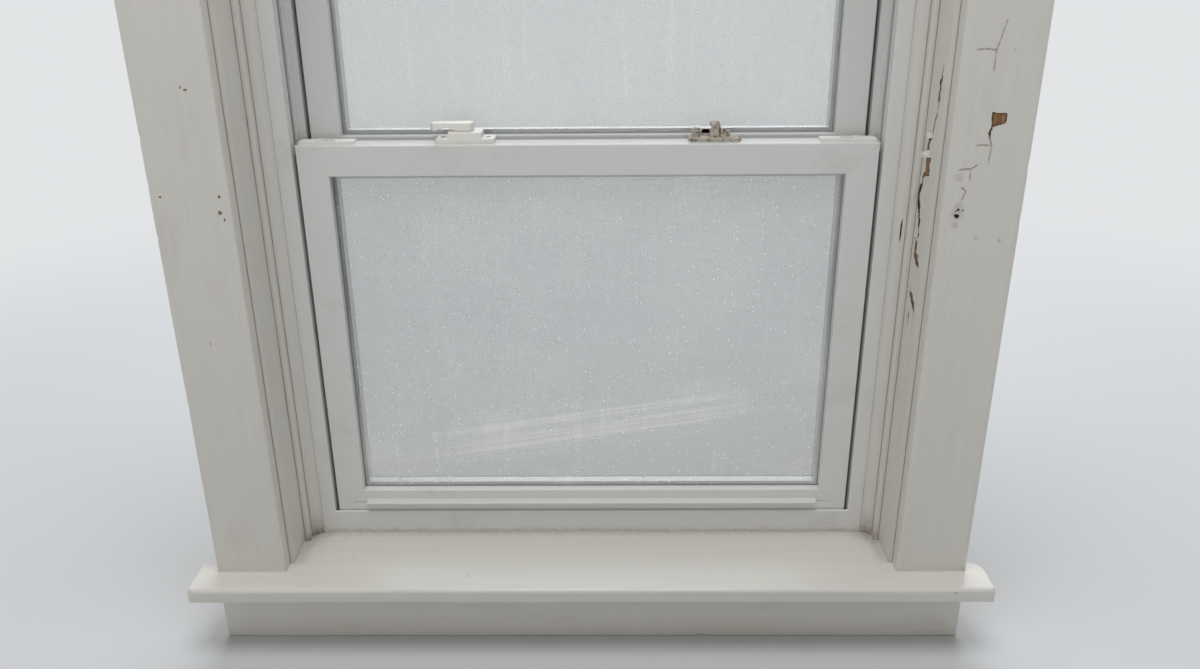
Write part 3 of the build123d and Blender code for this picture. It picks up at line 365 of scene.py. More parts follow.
def weld_line(name):
    """Mitred weld lines at the four corners of a vinyl sash."""
    inputs = {"Vector": None, "Half Width": 0.3, "Bottom": 0.0, "Top": 1.0, "Reach": 0.04, "Line": 0.0004}
    graph, given, result = start_effect(name, inputs, ["Mask"])
    place = graph.parts(given["Vector"])
    from_side = graph.minus(given["Half Width"], graph.maths("ABSOLUTE", place[0]))
    above = graph.apart(from_side, graph.minus(given["Top"], place[2]))
    below = graph.apart(from_side, graph.minus(place[2], given["Bottom"]))
    line = graph.maths("LESS_THAN", graph.maths("MINIMUM", above, below), given["Line"])
    within = graph.maths("LESS_THAN", from_side, given["Reach"])
    graph.feed(result["Mask"], graph.times(line, within))


def joint_dirt(name):
    """A dark line in the joint that runs up between two mouldings, on both sides of the window."""
    inputs = {"Vector": None, "Across": 0.381, "Depth": 0.051, "Width": 0.001}
    graph, given, result = start_effect(name, inputs, ["Mask"])
    place = graph.parts(given["Vector"])
    across = graph.minus(graph.maths("ABSOLUTE", place[0]), given["Across"])
    depth = graph.minus(place[1], given["Depth"])
    away = graph.maths("SQRT", graph.plus(graph.times(across, across), graph.times(depth, depth)))
    ragged = graph.cloud(graph.stretched(given["Vector"], UP, 0.2), 240.0, detail=3.0)
    away = graph.over(away, graph.times(given["Width"], graph.plus(0.6, ragged)))
    graph.feed(result["Mask"], graph.span(away, 1.0, 0.35))


EFFECTS = {
    "Joint dirt": joint_dirt,
    "Brush strokes": brush_strokes,
    "Soiling": soiling,
    "Specks": specks,
    "Pane specks": lambda name: specks(name, "2D"),
    "Scratches": scratches,
    "Wood grain": wood_grain,
    "Weld line": weld_line,
}


def start_material(name):
    """A material with one Principled shader; gives its graph and that shader."""
    material = bpy.data.materials.new(name)
    material.use_nodes = True
    material.node_tree.nodes.clear()
    graph = Graph(material.node_tree)
    shader = graph.add("ShaderNodeBsdfPrincipled")
    graph.add("ShaderNodeOutputMaterial")
    graph.show(shader)
    return graph, shader


def moulding_joints():
    """Where the joints between casing, jamb, stop and cove lie: how far across and how deep."""
    casing, stop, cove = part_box("casing_right"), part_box("stop_right"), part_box("cove_right")
    return [(casing[0].x, casing[1].y), (stop[1].x, stop[0].y),
            (cove[1].x, cove[0].y), (cove[0].x, cove[1].y)]


def paint_coat(name, run, dullness):
    """Old brushed oil paint; run is the axis that the brush and the grain follow."""
    tones = colours()
    graph, shader = start_material(name)
    place = graph.place()
    strokes = graph.use("Brush strokes", {
        "Vector": graph.stretched(place, run, 0.03), "Stroke Width": sizes().brush_mark})
    stain = graph.soil(graph.stretched(place, run, 0.45), 0.06, 0.3)
    spots = graph.use("Specks", {"Vector": place, "Spacing": 0.022, "Size": 0.06, "Share": 0.3})
    ragged = graph.span(graph.cloud(place, 160.0, detail=4.0), 0.25, 0.75, 0.35, 1.0)
    # The mark that darkens the paint holds dirt, the darkening where boards meet, and painted shadow in
    # cracks.
    grime_and_shade = graph.times(graph.mark("grime_and_shade"), ragged, clamp=True)
    shade = graph.shaded(graph.times(strokes["Tone"], 0.5), tones.trim_paint, 0.95)
    shade = graph.mixed(graph.times(stain, 0.13), shade, tones.trim_stain)
    shade = graph.mixed(graph.times(spots["Mask"], 0.5), shade, tones.grime_and_shade)
    for across, depth in moulding_joints() if run == UP else ():
        joint = graph.use("Joint dirt", {
            "Vector": place, "Across": across, "Depth": depth, "Width": 1.2 * MM})
        grime_and_shade = graph.maths("MAXIMUM", grime_and_shade, graph.times(joint["Mask"], 0.55))
    roughness = graph.plus(dullness, graph.times(stain, 0.12))
    graph.fill(shader, {
        "Base Color": graph.mixed(grime_and_shade, shade, tones.grime_and_shade),
        "Roughness": graph.plus(roughness, graph.times(grime_and_shade, 0.3), clamp=True),
        "Normal": graph.bump(strokes["Height"], 0.5, 0.22 * MM)})


def weathered_coat(name, run):
    """Outdoor paint that chalks and flakes off grey wood."""
    tones = colours()
    grey_wood, grey_wood_dark = (0.24, 0.2, 0.165), (0.12, 0.095, 0.075)
    graph, shader = start_material(name)
    place = graph.place()
    grain = graph.use("Wood grain", {"Vector": graph.stretched(place, run, 0.05)})
    flaked = graph.soil(graph.stretched(place, run, 0.35), 0.03, 0.42)
    dirt = graph.soil(place, 0.12, 0.5)
    wood = graph.mixed(grain["Tone"], grey_wood, grey_wood_dark)
    paint = graph.mixed(graph.times(dirt, 0.35), tones.trim_paint, tones.trim_stain)
    height = graph.minus(graph.times(grain["Height"], 0.6), flaked)
    graph.fill(shader, {
        "Base Color": graph.mixed(flaked, paint, wood),
        "Roughness": graph.span(flaked, 0.0, 1.0, 0.6, 0.9),
        "Normal": graph.bump(height, 0.8, 0.6 * MM)})


def bare_wood(name, run, light, dark):
    """Unpainted sawn wood, almost black where its mark is strong: painted shadow at the rims of torn paint,
    and darkening where boards meet.
    """
    graph, shader = start_material(name)
    place = graph.place()
    grain = graph.use("Wood grain", {"Vector": graph.stretched(place, run, 0.05)})
    saw = graph.cloud(graph.stretched(place, run, 8.0), 55.0, detail=1.0)
    dirt = graph.soil(place, 0.07, 0.4)
    tone = graph.mixed(grain["Tone"], light, dark)
    tone = graph.mixed(graph.times(dirt, 0.35), tone, dark)
    # Near-black tone for that mark: painted shadow and darkening, not a colour of the wood.
    deep = tuple(value * 0.22 for value in dark)
    height = graph.plus(grain["Height"], graph.times(saw, 0.4))
    graph.fill(shader, {
        "Base Color": graph.mixed(graph.mark("grime_and_shade"), tone, deep),
        "Roughness": graph.span(grain["Tone"], 0.0, 1.0, 0.7, 0.88),
        "Normal": graph.bump(height, 0.7, 0.4 * MM)})


def vinyl(name, run, corners=None, foot=None):
    """White extruded vinyl; corners size a sash's weld lines, and dirt settles at the foot's height."""
    tones = colours()
    graph, shader = start_material(name)
    place = graph.place()
    lines = graph.cloud(graph.stretched(place, run, 0.004), 420.0)
    soil = graph.soil(place, 0.09, 0.32)
    spots = graph.use("Specks", {"Vector": place, "Spacing": 0.016, "Size": 0.07, "Share": 0.22})
    shade = graph.mixed(graph.times(soil, 0.16), tones.vinyl, tones.vinyl_soil)
    shade = graph.mixed(graph.times(spots["Mask"], 0.6), shade, tones.vinyl_soil)
    if foot:
        ragged = graph.times(graph.cloud(place, 120.0, detail=4.0), 14.0 * MM)
        above = graph.plus(graph.parts(place)[2], ragged)
        settled = graph.span(above, foot + 16.0 * MM, foot + 6.0 * MM, 0.0, 0.45)
        shade = graph.mixed(settled, shade, tones.trim_stain)
    height = graph.times(lines, 0.06)
    if corners:
        weld = graph.use("Weld line", {"Vector": place, **corners})
        shade = graph.mixed(graph.times(weld["Mask"], 0.4), shade, tones.vinyl_soil)
        height = graph.minus(height, weld["Mask"])
    graph.fill(shader, {
        "Base Color": shade,
        "Roughness": graph.span(soil, 0.0, 1.0, 0.3, 0.48),
        "Normal": graph.bump(height, 0.35, 0.25 * MM)})


def moulded_plastic(name, tint, dullness):
    """Moulded plastic or rubber with a fine eggshell surface."""
    graph, shader = start_material(name)
    place = graph.place()
    soil = graph.soil(place, 0.012, 0.35)
    graph.fill(shader, {
        "Base Color": graph.shaded(graph.times(soil, 0.5), tint, 0.72),
        "Roughness": graph.span(soil, 0.0, 1.0, dullness, dullness + 0.2),
        "Normal": graph.bump(graph.cloud(place, 2600.0), 0.25, 0.1 * MM)})


def pane_glass(name):
    """Clear float glass that lets lamps through."""
    tint = (0.985, 0.995, 0.99)
    graph, shader = start_material(name)
    graph.fill(shader, {"Base Color": tint, "Roughness": 0.0, "IOR": 1.5, "Transmission Weight": 1.0})
    clear = graph.add("ShaderNodeBsdfTransparent", {"Color": tint})
    path = graph.add("ShaderNodeLightPath").outputs
    lamps = graph.maths("MAXIMUM", path["Is Shadow Ray"], path["Is Diffuse Ray"])
    graph.show(graph.add("ShaderNodeMixShader", {0: lamps, 1: shader.outputs[0], 2: clear.outputs[0]}))


def wiping_smear(graph, place):
    """How far dust was pushed into a slanting smear by a hand."""
    turned = graph.add("ShaderNodeMapping", {"Vector": place, "Rotation": (0.0, SMEAR_TILT, 0.0)}).outputs[0]
    wiped = graph.cloud(graph.stretched(turned, ACROSS, 0.014), 80.0, detail=5.0, roughness=0.62)
    turned = graph.parts(turned)
    inside = graph.times(
        graph.span(graph.apart(turned[2], SMEAR_HEIGHT), SMEAR_WIDTH, 0.0),
        graph.span(graph.apart(turned[0], SMEAR_MIDDLE), SMEAR_REACH, 0.4 * SMEAR_REACH))
    return graph.times(graph.span(wiped, 0.34, 0.7), inside)


def glass_film(name, smeared):
    """Dust on a pane: haze, specks, dried drops and smears, all on the film's room face; the dust glows with
    painted back light.
    """
    graph, shader = start_material(name)
    place = graph.place()
    across, _, up = graph.parts(place)
    flat = graph.add("ShaderNodeCombineXYZ", {0: across, 1: up}).outputs[0]
    haze = graph.soil(place, 0.16, 0.6)
    grains = graph.use("Pane specks", {"Vector": flat, "Spacing": 0.0058, "Size": 0.085, "Share": 0.24})
    drops = graph.use("Pane specks", {"Vector": flat, "Spacing": 0.019, "Size": 0.042, "Share": 0.5})
    layers = ((haze, 0.1), (grains["Mask"], 0.7), (drops["Mask"], 0.9))
    streaks = graph.cloud(graph.stretched(place, UP, 0.05), 95.0, detail=4.0, roughness=0.6)
    cover = graph.span(streaks, 0.5, 0.72, 0.02, 0.1 if smeared else 0.26)
    for layer, share in layers:
        cover = graph.plus(cover, graph.times(layer, share))
    if smeared:
        cover = graph.plus(cover, graph.times(wiping_smear(graph, place), 0.5))
        cover = graph.plus(cover, graph.span(up, 0.46, 0.16, 0.0, 0.2))
    # Emission in the dust's own colour: painted light that stands in for daylight scattered through the
    # dust.
    graph.fill(shader, {
        "Base Color": colours().dust,
        "Emission Color": colours().dust,
        "Emission Strength": DUST_PAINTED_BACKLIGHT,
        "Roughness": graph.span(haze, 0.0, 1.0, 0.7, 0.9),
        "Alpha": graph.times(graph.maths("MINIMUM", cover, 0.9), graph.mark("room_face"))})


def spacer_strip(name):
    """Perforated metal spacer with a row of fine holes."""
    graph, shader = start_material(name)
    place = graph.place()
    across, _, up = graph.parts(place)
    run = graph.over(graph.plus(across, up), SPACER_HOLE_PITCH)
    hole = graph.maths("LESS_THAN", graph.apart(graph.maths("FRACT", run), 0.5), 0.16)
    brushed = graph.cloud(place, 700.0)
    graph.fill(shader, {
        "Base Color": graph.shaded(hole, colours().spacer, 0.45),
        "Roughness": graph.span(brushed, 0.3, 0.7, 0.32, 0.5),
        "Metallic": 0.75,
        "Normal": graph.bump(graph.minus(brushed, hole), 0.4, 0.2 * MM)})


def plated_metal(name, tint, dullness):
    """Plated or spring steel with fine scratches."""
    graph, shader = start_material(name)
    place = graph.place()
    lines = graph.use("Scratches", {"Vector": place, "Spacing": 0.004, "Width": 0.05})
    dull = graph.soil(place, 0.006, 0.45)
    graph.fill(shader, {
        "Base Color": graph.shaded(graph.times(dull, 0.6), tint, 0.5),
        "Roughness": graph.span(dull, 0.0, 1.0, dullness, dullness + 0.3),
        "Metallic": 0.9,
        "Normal": graph.bump(lines["Mask"], 0.3, 0.1 * MM)})


def dull_zinc():
    """The colour of zinc that has lost its shine."""
    return tuple(value * 0.55 for value in colours().zinc)


def chipped_lock_paint(name):
    """Baked paint on a casting, worn to the metal on its edges."""
    tones = colours()
    graph, shader = start_material(name)
    place = graph.place()
    grit = graph.cloud(place, 900.0, detail=4.0, roughness=0.65)
    edge = graph.plus(graph.mark("edge"), graph.times(graph.minus(grit, 0.5), 0.9))
    worn = graph.span(edge, 0.62, 0.78)
    soil = graph.soil(place, 0.01, 0.5)
    paint = graph.mixed(graph.times(soil, 0.45), tones.lock_paint, tones.trim_stain)
    graph.fill(shader, {
        "Base Color": graph.mixed(worn, paint, dull_zinc()),
        "Metallic": graph.times(worn, 0.7),
        "Roughness": graph.span(soil, 0.0, 1.0, 0.36, 0.6),
        "Normal": graph.bump(graph.minus(grit, worn), 0.35, 0.15 * MM)})


def corroded_metal(name):
    """Zinc casting that has lost its paint: pitted, brown and cream with corrosion."""
    tones = colours()
    graph, shader = start_material(name)
    place = graph.place()
    pits = graph.cloud(place, 700.0, detail=5.0, roughness=0.7)
    bloom = graph.soil(place, 0.008, 0.45)
    elsewhere = graph.vector("ADD", place, (3.1, 1.7, 0.4))
    crust = graph.soil(elsewhere, 0.009, 0.78)
    shade = graph.mixed(bloom, dull_zinc(), tones.corrosion)
    shade = graph.mixed(crust, shade, tones.corrosion_pale)
    deep = tuple(value * 0.15 for value in tones.corrosion)
    shade = graph.mixed(graph.span(pits, 0.46, 0.36), shade, deep)
    # Paler toward its edges: rubbed crust, with a painted highlight on them.
    rubbed_and_highlit = graph.span(graph.mark("edge"), 0.55, 0.9, 0.0, 0.7)
    graph.fill(shader, {
        "Base Color": graph.mixed(rubbed_and_highlit, shade, tones.corrosion_pale),
        "Metallic": graph.span(bloom, 0.0, 1.0, 0.45, 0.0),
        "Roughness": graph.span(pits, 0.3, 0.7, 0.55, 0.92),
        "Normal": graph.bump(pits, 0.8, 0.5 * MM)})


def pale_floor(name):
    """Plain floor that takes the object's shadow and fades into the backdrop."""
    fade_from, fade_to = 0.7, 2.6
    graph, shader = start_material(name)
    place = graph.place()
    graph.fill(shader, {
        "Base Color": tuple(value * FLOOR_SHARE for value in colours().floor),
        "Roughness": 0.9,
        "Specular IOR Level": 0.1})
    away = graph.add("ShaderNodeVectorMath", {0: place}, operation="LENGTH").outputs["Value"]
    backdrop = graph.add("ShaderNodeEmission", {"Color": colours().floor, "Strength": BACKDROP_LEVEL})
    graph.show(graph.add("ShaderNodeMixShader", {
        0: graph.span(away, fade_from, fade_to), 1: shader.outputs[0], 2: backdrop.outputs[0]}))


def sash_corners(node):
    """The sizes of a sash that its weld lines need."""
    low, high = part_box(node)
    return {"Half Width": high[0], "Bottom": low[2], "Top": high[2], "Reach": SASH_FACE, "Line": WELD_LINE}


FINISHES = {
    "upright_paint": lambda name: paint_coat(name, UP, 0.34),
    "level_paint": lambda name: paint_coat(name, ACROSS, 0.2),
    "upright_outdoor_paint": lambda name: weathered_coat(name, UP),
    "level_outdoor_paint": lambda name: weathered_coat(name, ACROSS),
    "upright_old_wood": lambda name: bare_wood(name, UP, colours().old_wood, colours().old_wood_dark),
    "level_old_wood": lambda name: bare_wood(name, ACROSS, colours().old_wood, colours().old_wood_dark),
    # Near-black wood for the nail holes, the stool's nick and the cove's slit: painted shade of these
    # hollows, and the nail holes' stain.
    "nail_hole": lambda name: bare_wood(name, UP, linear(44, 32, 24), linear(22, 16, 12)),
    "shim_wood": lambda name: bare_wood(name, DEPTH, colours().new_wood, colours().new_wood_dark),
    "frame_vinyl": lambda name: vinyl(name, UP, foot=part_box("stool")[1].z),
    "lower_sash_vinyl": lambda name: vinyl(name, ACROSS, sash_corners("lower_sash_frame")),
    "upper_sash_vinyl": lambda name: vinyl(name, ACROSS, sash_corners("upper_sash_frame")),
    "bead_vinyl": lambda name: vinyl(name, UP),
    "latch_plastic": lambda name: moulded_plastic(name, colours().plastic, 0.38),
    "balance_plastic": lambda name: moulded_plastic(name, colours().plastic, 0.45),
    "seal_rubber": lambda name: moulded_plastic(name, colours().rubber, 0.6),
    "screen_enamel": lambda name: moulded_plastic(name, colours().screen_white, 0.32),
    "screen_strand": lambda name: moulded_plastic(name, colours().screen_wire, 0.5),
    "clear_glass": pane_glass,
    "upper_glass_dust": lambda name: glass_film(name, False),
    "lower_glass_dust": lambda name: glass_film(name, True),
    "dried_drops": lambda name: moulded_plastic(name, colours().dust, 0.6),
    "spacer_metal": spacer_strip,
    "plated_steel": lambda name: plated_metal(name, colours().zinc, 0.3),
    "spring_steel": lambda name: plated_metal(name, dull_zinc(), 0.35),
    "lock_paint": chipped_lock_paint,
    "corroded_zinc": corroded_metal,
    "floor": pale_floor,
}


def finish(name):
    """A finish by name, made when it is first asked for."""
    if name not in bpy.data.materials:
        FINISHES[name](name)
    return bpy.data.materials[name]


def start_piece(name, mesh_source, *coats):
    """An object at the origin from a bmesh or a mesh, with its finishes."""
    if isinstance(mesh_source, bmesh.types.BMesh):
        mesh = bpy.data.meshes.new(name)
        mesh_source.to_mesh(mesh)
        mesh_source.free()
    else:
        mesh = mesh_source
        mesh.name = name
    piece = bpy.data.objects.new(name, mesh)
    bpy.context.scene.collection.objects.link(piece)
    piece.data.materials.clear()
    for coat in coats:
        piece.data.materials.append(finish(coat))
    return piece


def made_plain(piece):
    """Makes a piece's modifiers part of its mesh."""
    bpy.context.view_layer.update()
    view = bpy.context.evaluated_depsgraph_get()
    mesh = bpy.data.meshes.new_from_object(piece.evaluated_get(view))
    piece.modifiers.clear()
    piece.data = mesh
    return piece


def settle(piece, body, slot, *nodes):
    """Gives a finished piece its body and hides the nodes that it stands for; the slot is not used."""
    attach(piece, body)
    if nodes:
        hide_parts(*nodes)
    return piece


def body_of(node):
    """The body that a node rides on."""
    return frame["nodes"][node]["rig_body"]


def cad_copy(node):
    """A merged copy of a node's mesh with its flat faces joined."""
    merge_distance = 0.01 * MM
    flat_angle = math.radians(0.4)
    shape = bmesh.new()
    shape.from_mesh(frame["nodes"][node].data)
    bmesh.ops.remove_doubles(shape, verts=shape.verts, dist=merge_distance)
    bmesh.ops.dissolve_limit(shape, angle_limit=flat_angle, verts=shape.verts, edges=shape.edges)
    for layer in list(shape.loops.layers.uv):
        shape.loops.layers.uv.remove(layer)
    return shape


def smooth(piece, sharp_degrees=40.0):
    """Shades a piece smooth except at its sharp edges."""
    piece.data.shade_smooth()
    piece.data.set_sharp_from_angle(angle=math.radians(sharp_degrees))


def eased(piece, radius, segments=2):
    """Rounds a piece's edges a little, as on the real thing, and keeps its flats flat."""
    bevel = piece.modifiers.new("Eased edges", "BEVEL")
    bevel.width = radius
    bevel.segments = segments
    bevel.limit_method = "ANGLE"
    bevel.angle_limit = math.radians(35.0)
    bevel.miter_outer = "MITER_ARC"
    smooth(piece)
    flats = piece.modifiers.new("Flat faces", "WEIGHTED_NORMAL")
    flats.keep_sharp = True
    flats.weight = 100
    return made_plain(piece)


def area_of(piece):
    """The area of a piece's faces."""
    return sum(polygon.area for polygon in piece.data.polygons)


def dress(node, coat, slot, radius):
    """Replaces a node with a copy that has eased edges; long faces are cut first, so that none is a ring."""
    longest, most_change = 120.0 * MM, 0.1
    shape = cad_copy(node)
    for axis in (ACROSS, UP):
        slice_mesh(shape, axis, longest)
    piece = start_piece(node + "_finished", shape, coat)
    eased(piece, radius)
    if abs(area_of(piece) / area_of(frame["nodes"][node]) - 1.0) > most_change:
        raise RuntimeError(f"the eased edges of {node} fold over its faces")
    return settle(piece, body_of(node), slot, node)


def coat_node(node, coat):
    """Gives a node that stays a better finish."""
    for slot in frame["nodes"][node].material_slots:
        slot.link = "OBJECT"
        slot.material = finish(coat)


def slice_mesh(shape, axis, spacing):
    """Cuts a mesh across one axis at even spacing."""
    places = [vertex.co[axis] for vertex in shape.verts]
    low, high = min(places), max(places)
    count = int((high - low) / spacing)
    normal = Vector((0.0, 0.0, 0.0))
    normal[axis] = 1.0
    ahead = shape.verts[:] + shape.edges[:] + shape.faces[:]
    for index in range(1, count + 1):
        place = low + (high - low) * index / (count + 1)
        cut = bmesh.ops.bisect_plane(
            shape, geom=ahead, dist=0.001 * MM, plane_co=normal * place, plane_no=normal)
        faces = [item for item in cut["geom"] if isinstance(item, bmesh.types.BMFace)
                 and item.calc_center_median()[axis] > place]
        edges = dict.fromkeys(edge for face in faces for edge in face.edges)
        verts = dict.fromkeys(vertex for face in faces for vertex in face.verts)
        ahead = list(verts) + list(edges) + faces


def wave(shape, depth, reach, seed):
    """Moves a mesh's points along their normals by a slow noise."""
    shift = Vector((seed * 7.3, seed * 3.1, seed * 5.7))
    shape.normal_update()
    for vertex in shape.verts:
        vertex.co += vertex.normal * depth * noise.noise(vertex.co / reach + shift)


def nick(shape, centre, reach, depth):
    """Dents a mesh around a point."""
    for vertex in shape.verts:
        share = 1.0 - (vertex.co - centre).length / reach
        if share > 0.0:
            vertex.co -= vertex.normal * depth * share


def points_of(mesh):
    """A mesh's points as rows of an array."""
    places = np.empty(len(mesh.vertices) * 3)
    mesh.vertices.foreach_get("co", places)
    return places.reshape(-1, 3)


def normals_of(mesh):
    """A mesh's point normals as rows of an array."""
    normals = np.empty(len(mesh.vertices) * 3)
    mesh.vertices.foreach_get("normal", normals)
    return normals.reshape(-1, 3)


def mark_points(piece, name, rule):
    """Gives a mesh a value at each point, worked out from its place."""
    layer = piece.data.attributes.new(name, "FLOAT", "POINT")
    layer.data.foreach_set("value", rule(points_of(piece.data)).astype(np.float32))


def raw_faces(piece, sides):
    """Gives the second finish to the faces that lie on a node's given sides, where no paint reaches."""
    near, facing = 0.6 * MM, 0.8
    for polygon in piece.data.polygons:
        for axis, sign, place in sides:
            if polygon.normal[axis] * sign > facing and abs(polygon.center[axis] - place) < near:
                polygon.material_index = 1


def corner_darkening(points):
    """Darkening of the boards along the lines where stool, jambs and sill meet, strongest in the corners of
    the reveal.
    """
    stool_top, jamb_side, sill_face = 100.0 * MM, 375.0 * MM, 70.0 * MM
    spread, deep_spread = 12.0 * MM, 38.4 * MM
    above_stool = np.abs(points[:, UP] - stool_top)
    at_jamb = np.abs(np.abs(points[:, ACROSS]) - jamb_side)
    at_sill = np.abs(points[:, DEPTH] - sill_face)
    to_corner = np.hypot(above_stool, np.minimum(at_jamb, at_sill)) + (points[:, DEPTH] < 0.0)
    corner = np.clip(1.0 - to_corner / spread, 0.0, 1.0)
    away = np.sqrt(above_stool ** 2 + at_jamb ** 2 + at_sill ** 2)
    deep = np.clip(1.0 - away / deep_spread, 0.0, 1.0)
    along_joints = 0.4 * corner ** 1.5
    in_corners = 0.75 * deep ** 1.4
    return np.minimum(1.0, along_joints + in_corners)


def board(node, run, raw_sides=(), nicks=0, waved=True, outdoor=False):
    """A painted board: waved faces, dented edges, bare wood where no brush reached."""
    way = WAYS[run]
    coat, slot = way + "_paint", "painted_wood"
    if outdoor:
        coat, slot = way + "_outdoor_paint", "painted_wood_outdoor"
    step_aside, wave_length = 14.0 * MM, 0.11
    wide_board, face_depth = 60.0 * MM, 2.5 * MM
    low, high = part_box(node)
    steps = [step_aside] * 3
    steps[run] = sizes().board_step
    shape = cad_copy(node)
    for axis in sorted(range(3), key=lambda other: other != run):
        slice_mesh(shape, axis, steps[axis])
    seed = sum(ord(letter) for letter in node)
    chance = random.Random(seed)
    narrow = min(1.0, sorted(high - low)[1] / wide_board)
    wave(shape, sizes().board_wave * narrow * waved, wave_length, seed % 17)
    front = [vertex for vertex in shape.verts if vertex.co.y < low.y + face_depth]
    for _ in range(nicks):
        spot = chance.choice(front).co.copy()
        nick(shape, spot, chance.uniform(4.0, 9.0) * MM, chance.uniform(0.3, 1.1) * MM)
    piece = start_piece(node + "_board", shape, coat, way + "_old_wood")
    # A board's mark: darker where it meets other boards and in the corners of the reveal.
    mark_points(piece, "grime_and_shade", corner_darkening)
    extremes = {LEFT: low, RIGHT: high}
    raw_faces(piece, [(axis, sign, extremes[sign][axis]) for axis, sign in raw_sides])
    smooth(piece, sharp_degrees=32.0)
    return settle(piece, body_of(node), slot, node)


def mark_edges(piece):
    """Marks how far each point of a dense mesh stands out as an edge."""
    mesh = piece.data
    count = len(mesh.vertices)
    places, normals = points_of(mesh), normals_of(mesh)
    ends = np.empty(len(mesh.edges) * 2, dtype=int)
    mesh.edges.foreach_get("vertices", ends)
    ends = ends.reshape(-1, 2)
    first, second = ends[:, 0], ends[:, 1]
    gap = places[second] - places[first]
    bend = np.einsum("ij,ij->i", normals[second] - normals[first], gap)
    bend /= np.maximum((gap ** 2).sum(1), 1e-12)
    total, seen = np.zeros(count), np.zeros(count)
    for end in (first, second):
        np.add.at(total, end, bend)
        np.add.at(seen, end, 1)
    edge = total / np.maximum(seen, 1)
    for _ in range(2):
        spread = np.zeros(count)
        for near, far in ((first, second), (second, first)):
            np.add.at(spread, near, edge[far])
        edge = 0.5 * edge + 0.5 * spread / np.maximum(seen, 1)
    sharpest = 500.0
    mark_points(piece, "edge", lambda points: np.clip(edge / sharpest, 0.0, 1.0))


def casting(node, coat, slot, step, wander=0.0, rounds=2):
    """A cast part: its mesh is made dense and soft, with a wandering surface if it is corroded."""
    shape = cad_copy(node)
    bmesh.ops.triangulate(shape, faces=shape.faces)
    piece = start_piece(node + "_cast", shape, coat)
    dense = piece.modifiers.new("Dense", "REMESH")
    dense.mode = "VOXEL"
    dense.voxel_size = step
    made_plain(piece)
    soft = piece.modifiers.new("Soft", "SMOOTH")
    soft.factor = 0.5
    soft.iterations = rounds
    made_plain(piece)
    if wander:
        places, normals = points_of(piece.data), normals_of(piece.data)
        scale, fading, finer, layers = 300.0, 0.7, 2.2, 4
        rough = np.array([noise.fractal(Vector(place) * scale, fading, finer, layers)
                          for place in places])
        piece.data.vertices.foreach_set("co", (places + normals * rough[:, None] * wander).ravel())
        piece.data.update()
    piece.data.materials.clear()
    piece.data.materials.append(finish(coat))
    piece.data.shade_smooth()
    mark_edges(piece)
    return settle(piece, body_of(node), slot, node)


def geometry_tree(name, inputs):
    """Starts a Geometry Nodes tree with named inputs; gives its graph, its inputs and its output node."""
    kinds = {int: "NodeSocketInt", float: "NodeSocketFloat", tuple: "NodeSocketVector"}
    tree = bpy.data.node_groups.new(name, "GeometryNodeTree")
    tree.interface.new_socket(name="Geometry", in_out="INPUT", socket_type="NodeSocketGeometry")
    for label, default in inputs.items():
        kind = kinds.get(type(default), "NodeSocketMaterial")
        socket = tree.interface.new_socket(name=label, in_out="INPUT", socket_type=kind)
        if kind != "NodeSocketMaterial":
            socket.default_value = default
    tree.interface.new_socket(name="Geometry", in_out="OUTPUT", socket_type="NodeSocketGeometry")
    graph = Graph(tree)
    return graph, graph.add("NodeGroupInput").outputs, graph.add("NodeGroupOutput").inputs


def finish_tree(graph, given, result, geometry):
    """Ends a tree with Realize Instances and Set Material."""
    real = graph.add("GeometryNodeRealizeInstances", {0: geometry})
    coated = graph.add("GeometryNodeSetMaterial", {
        "Geometry": real.outputs[0], "Material": given["Material"]})
    graph.feed(result[0], coated.outputs[0])


def scattered_lumps(name):
    """Many small flattened lumps in a box, each turned and sized by chance."""
    inputs = {"Count": 100, "Low": (0.0, 0.0, 0.0), "High": (1.0, 0.0, 1.0),
              "Smallest": (0.001, 0.001, 0.001), "Largest": (0.002, 0.002, 0.002),
              "Turn": (0.0, math.pi, 0.0), "Seed": 1, "Material": None}
    graph, given, result = geometry_tree(name, inputs)

    def chance(low, high, offset):
        settings = {"Min": low, "Max": high, "Seed": graph.plus(given["Seed"], offset)}
        return graph.add("FunctionNodeRandomValue", settings, data_type="FLOAT_VECTOR").outputs[0]

    places = graph.add("GeometryNodePoints", {
        "Count": given["Count"], "Position": chance(given["Low"], given["High"], 0.0)})
    lump = graph.add("GeometryNodeMeshIcoSphere", {"Radius": 1.0, "Subdivisions": 1})
    spread = graph.add("GeometryNodeInstanceOnPoints", {
        "Points": places.outputs[0], "Instance": lump.outputs[0],
        "Rotation": chance((0.0, 0.0, 0.0), given["Turn"], 11.0),
        "Scale": chance(given["Smallest"], given["Largest"], 23.0)})
    finish_tree(graph, given, result, spread.outputs[0])


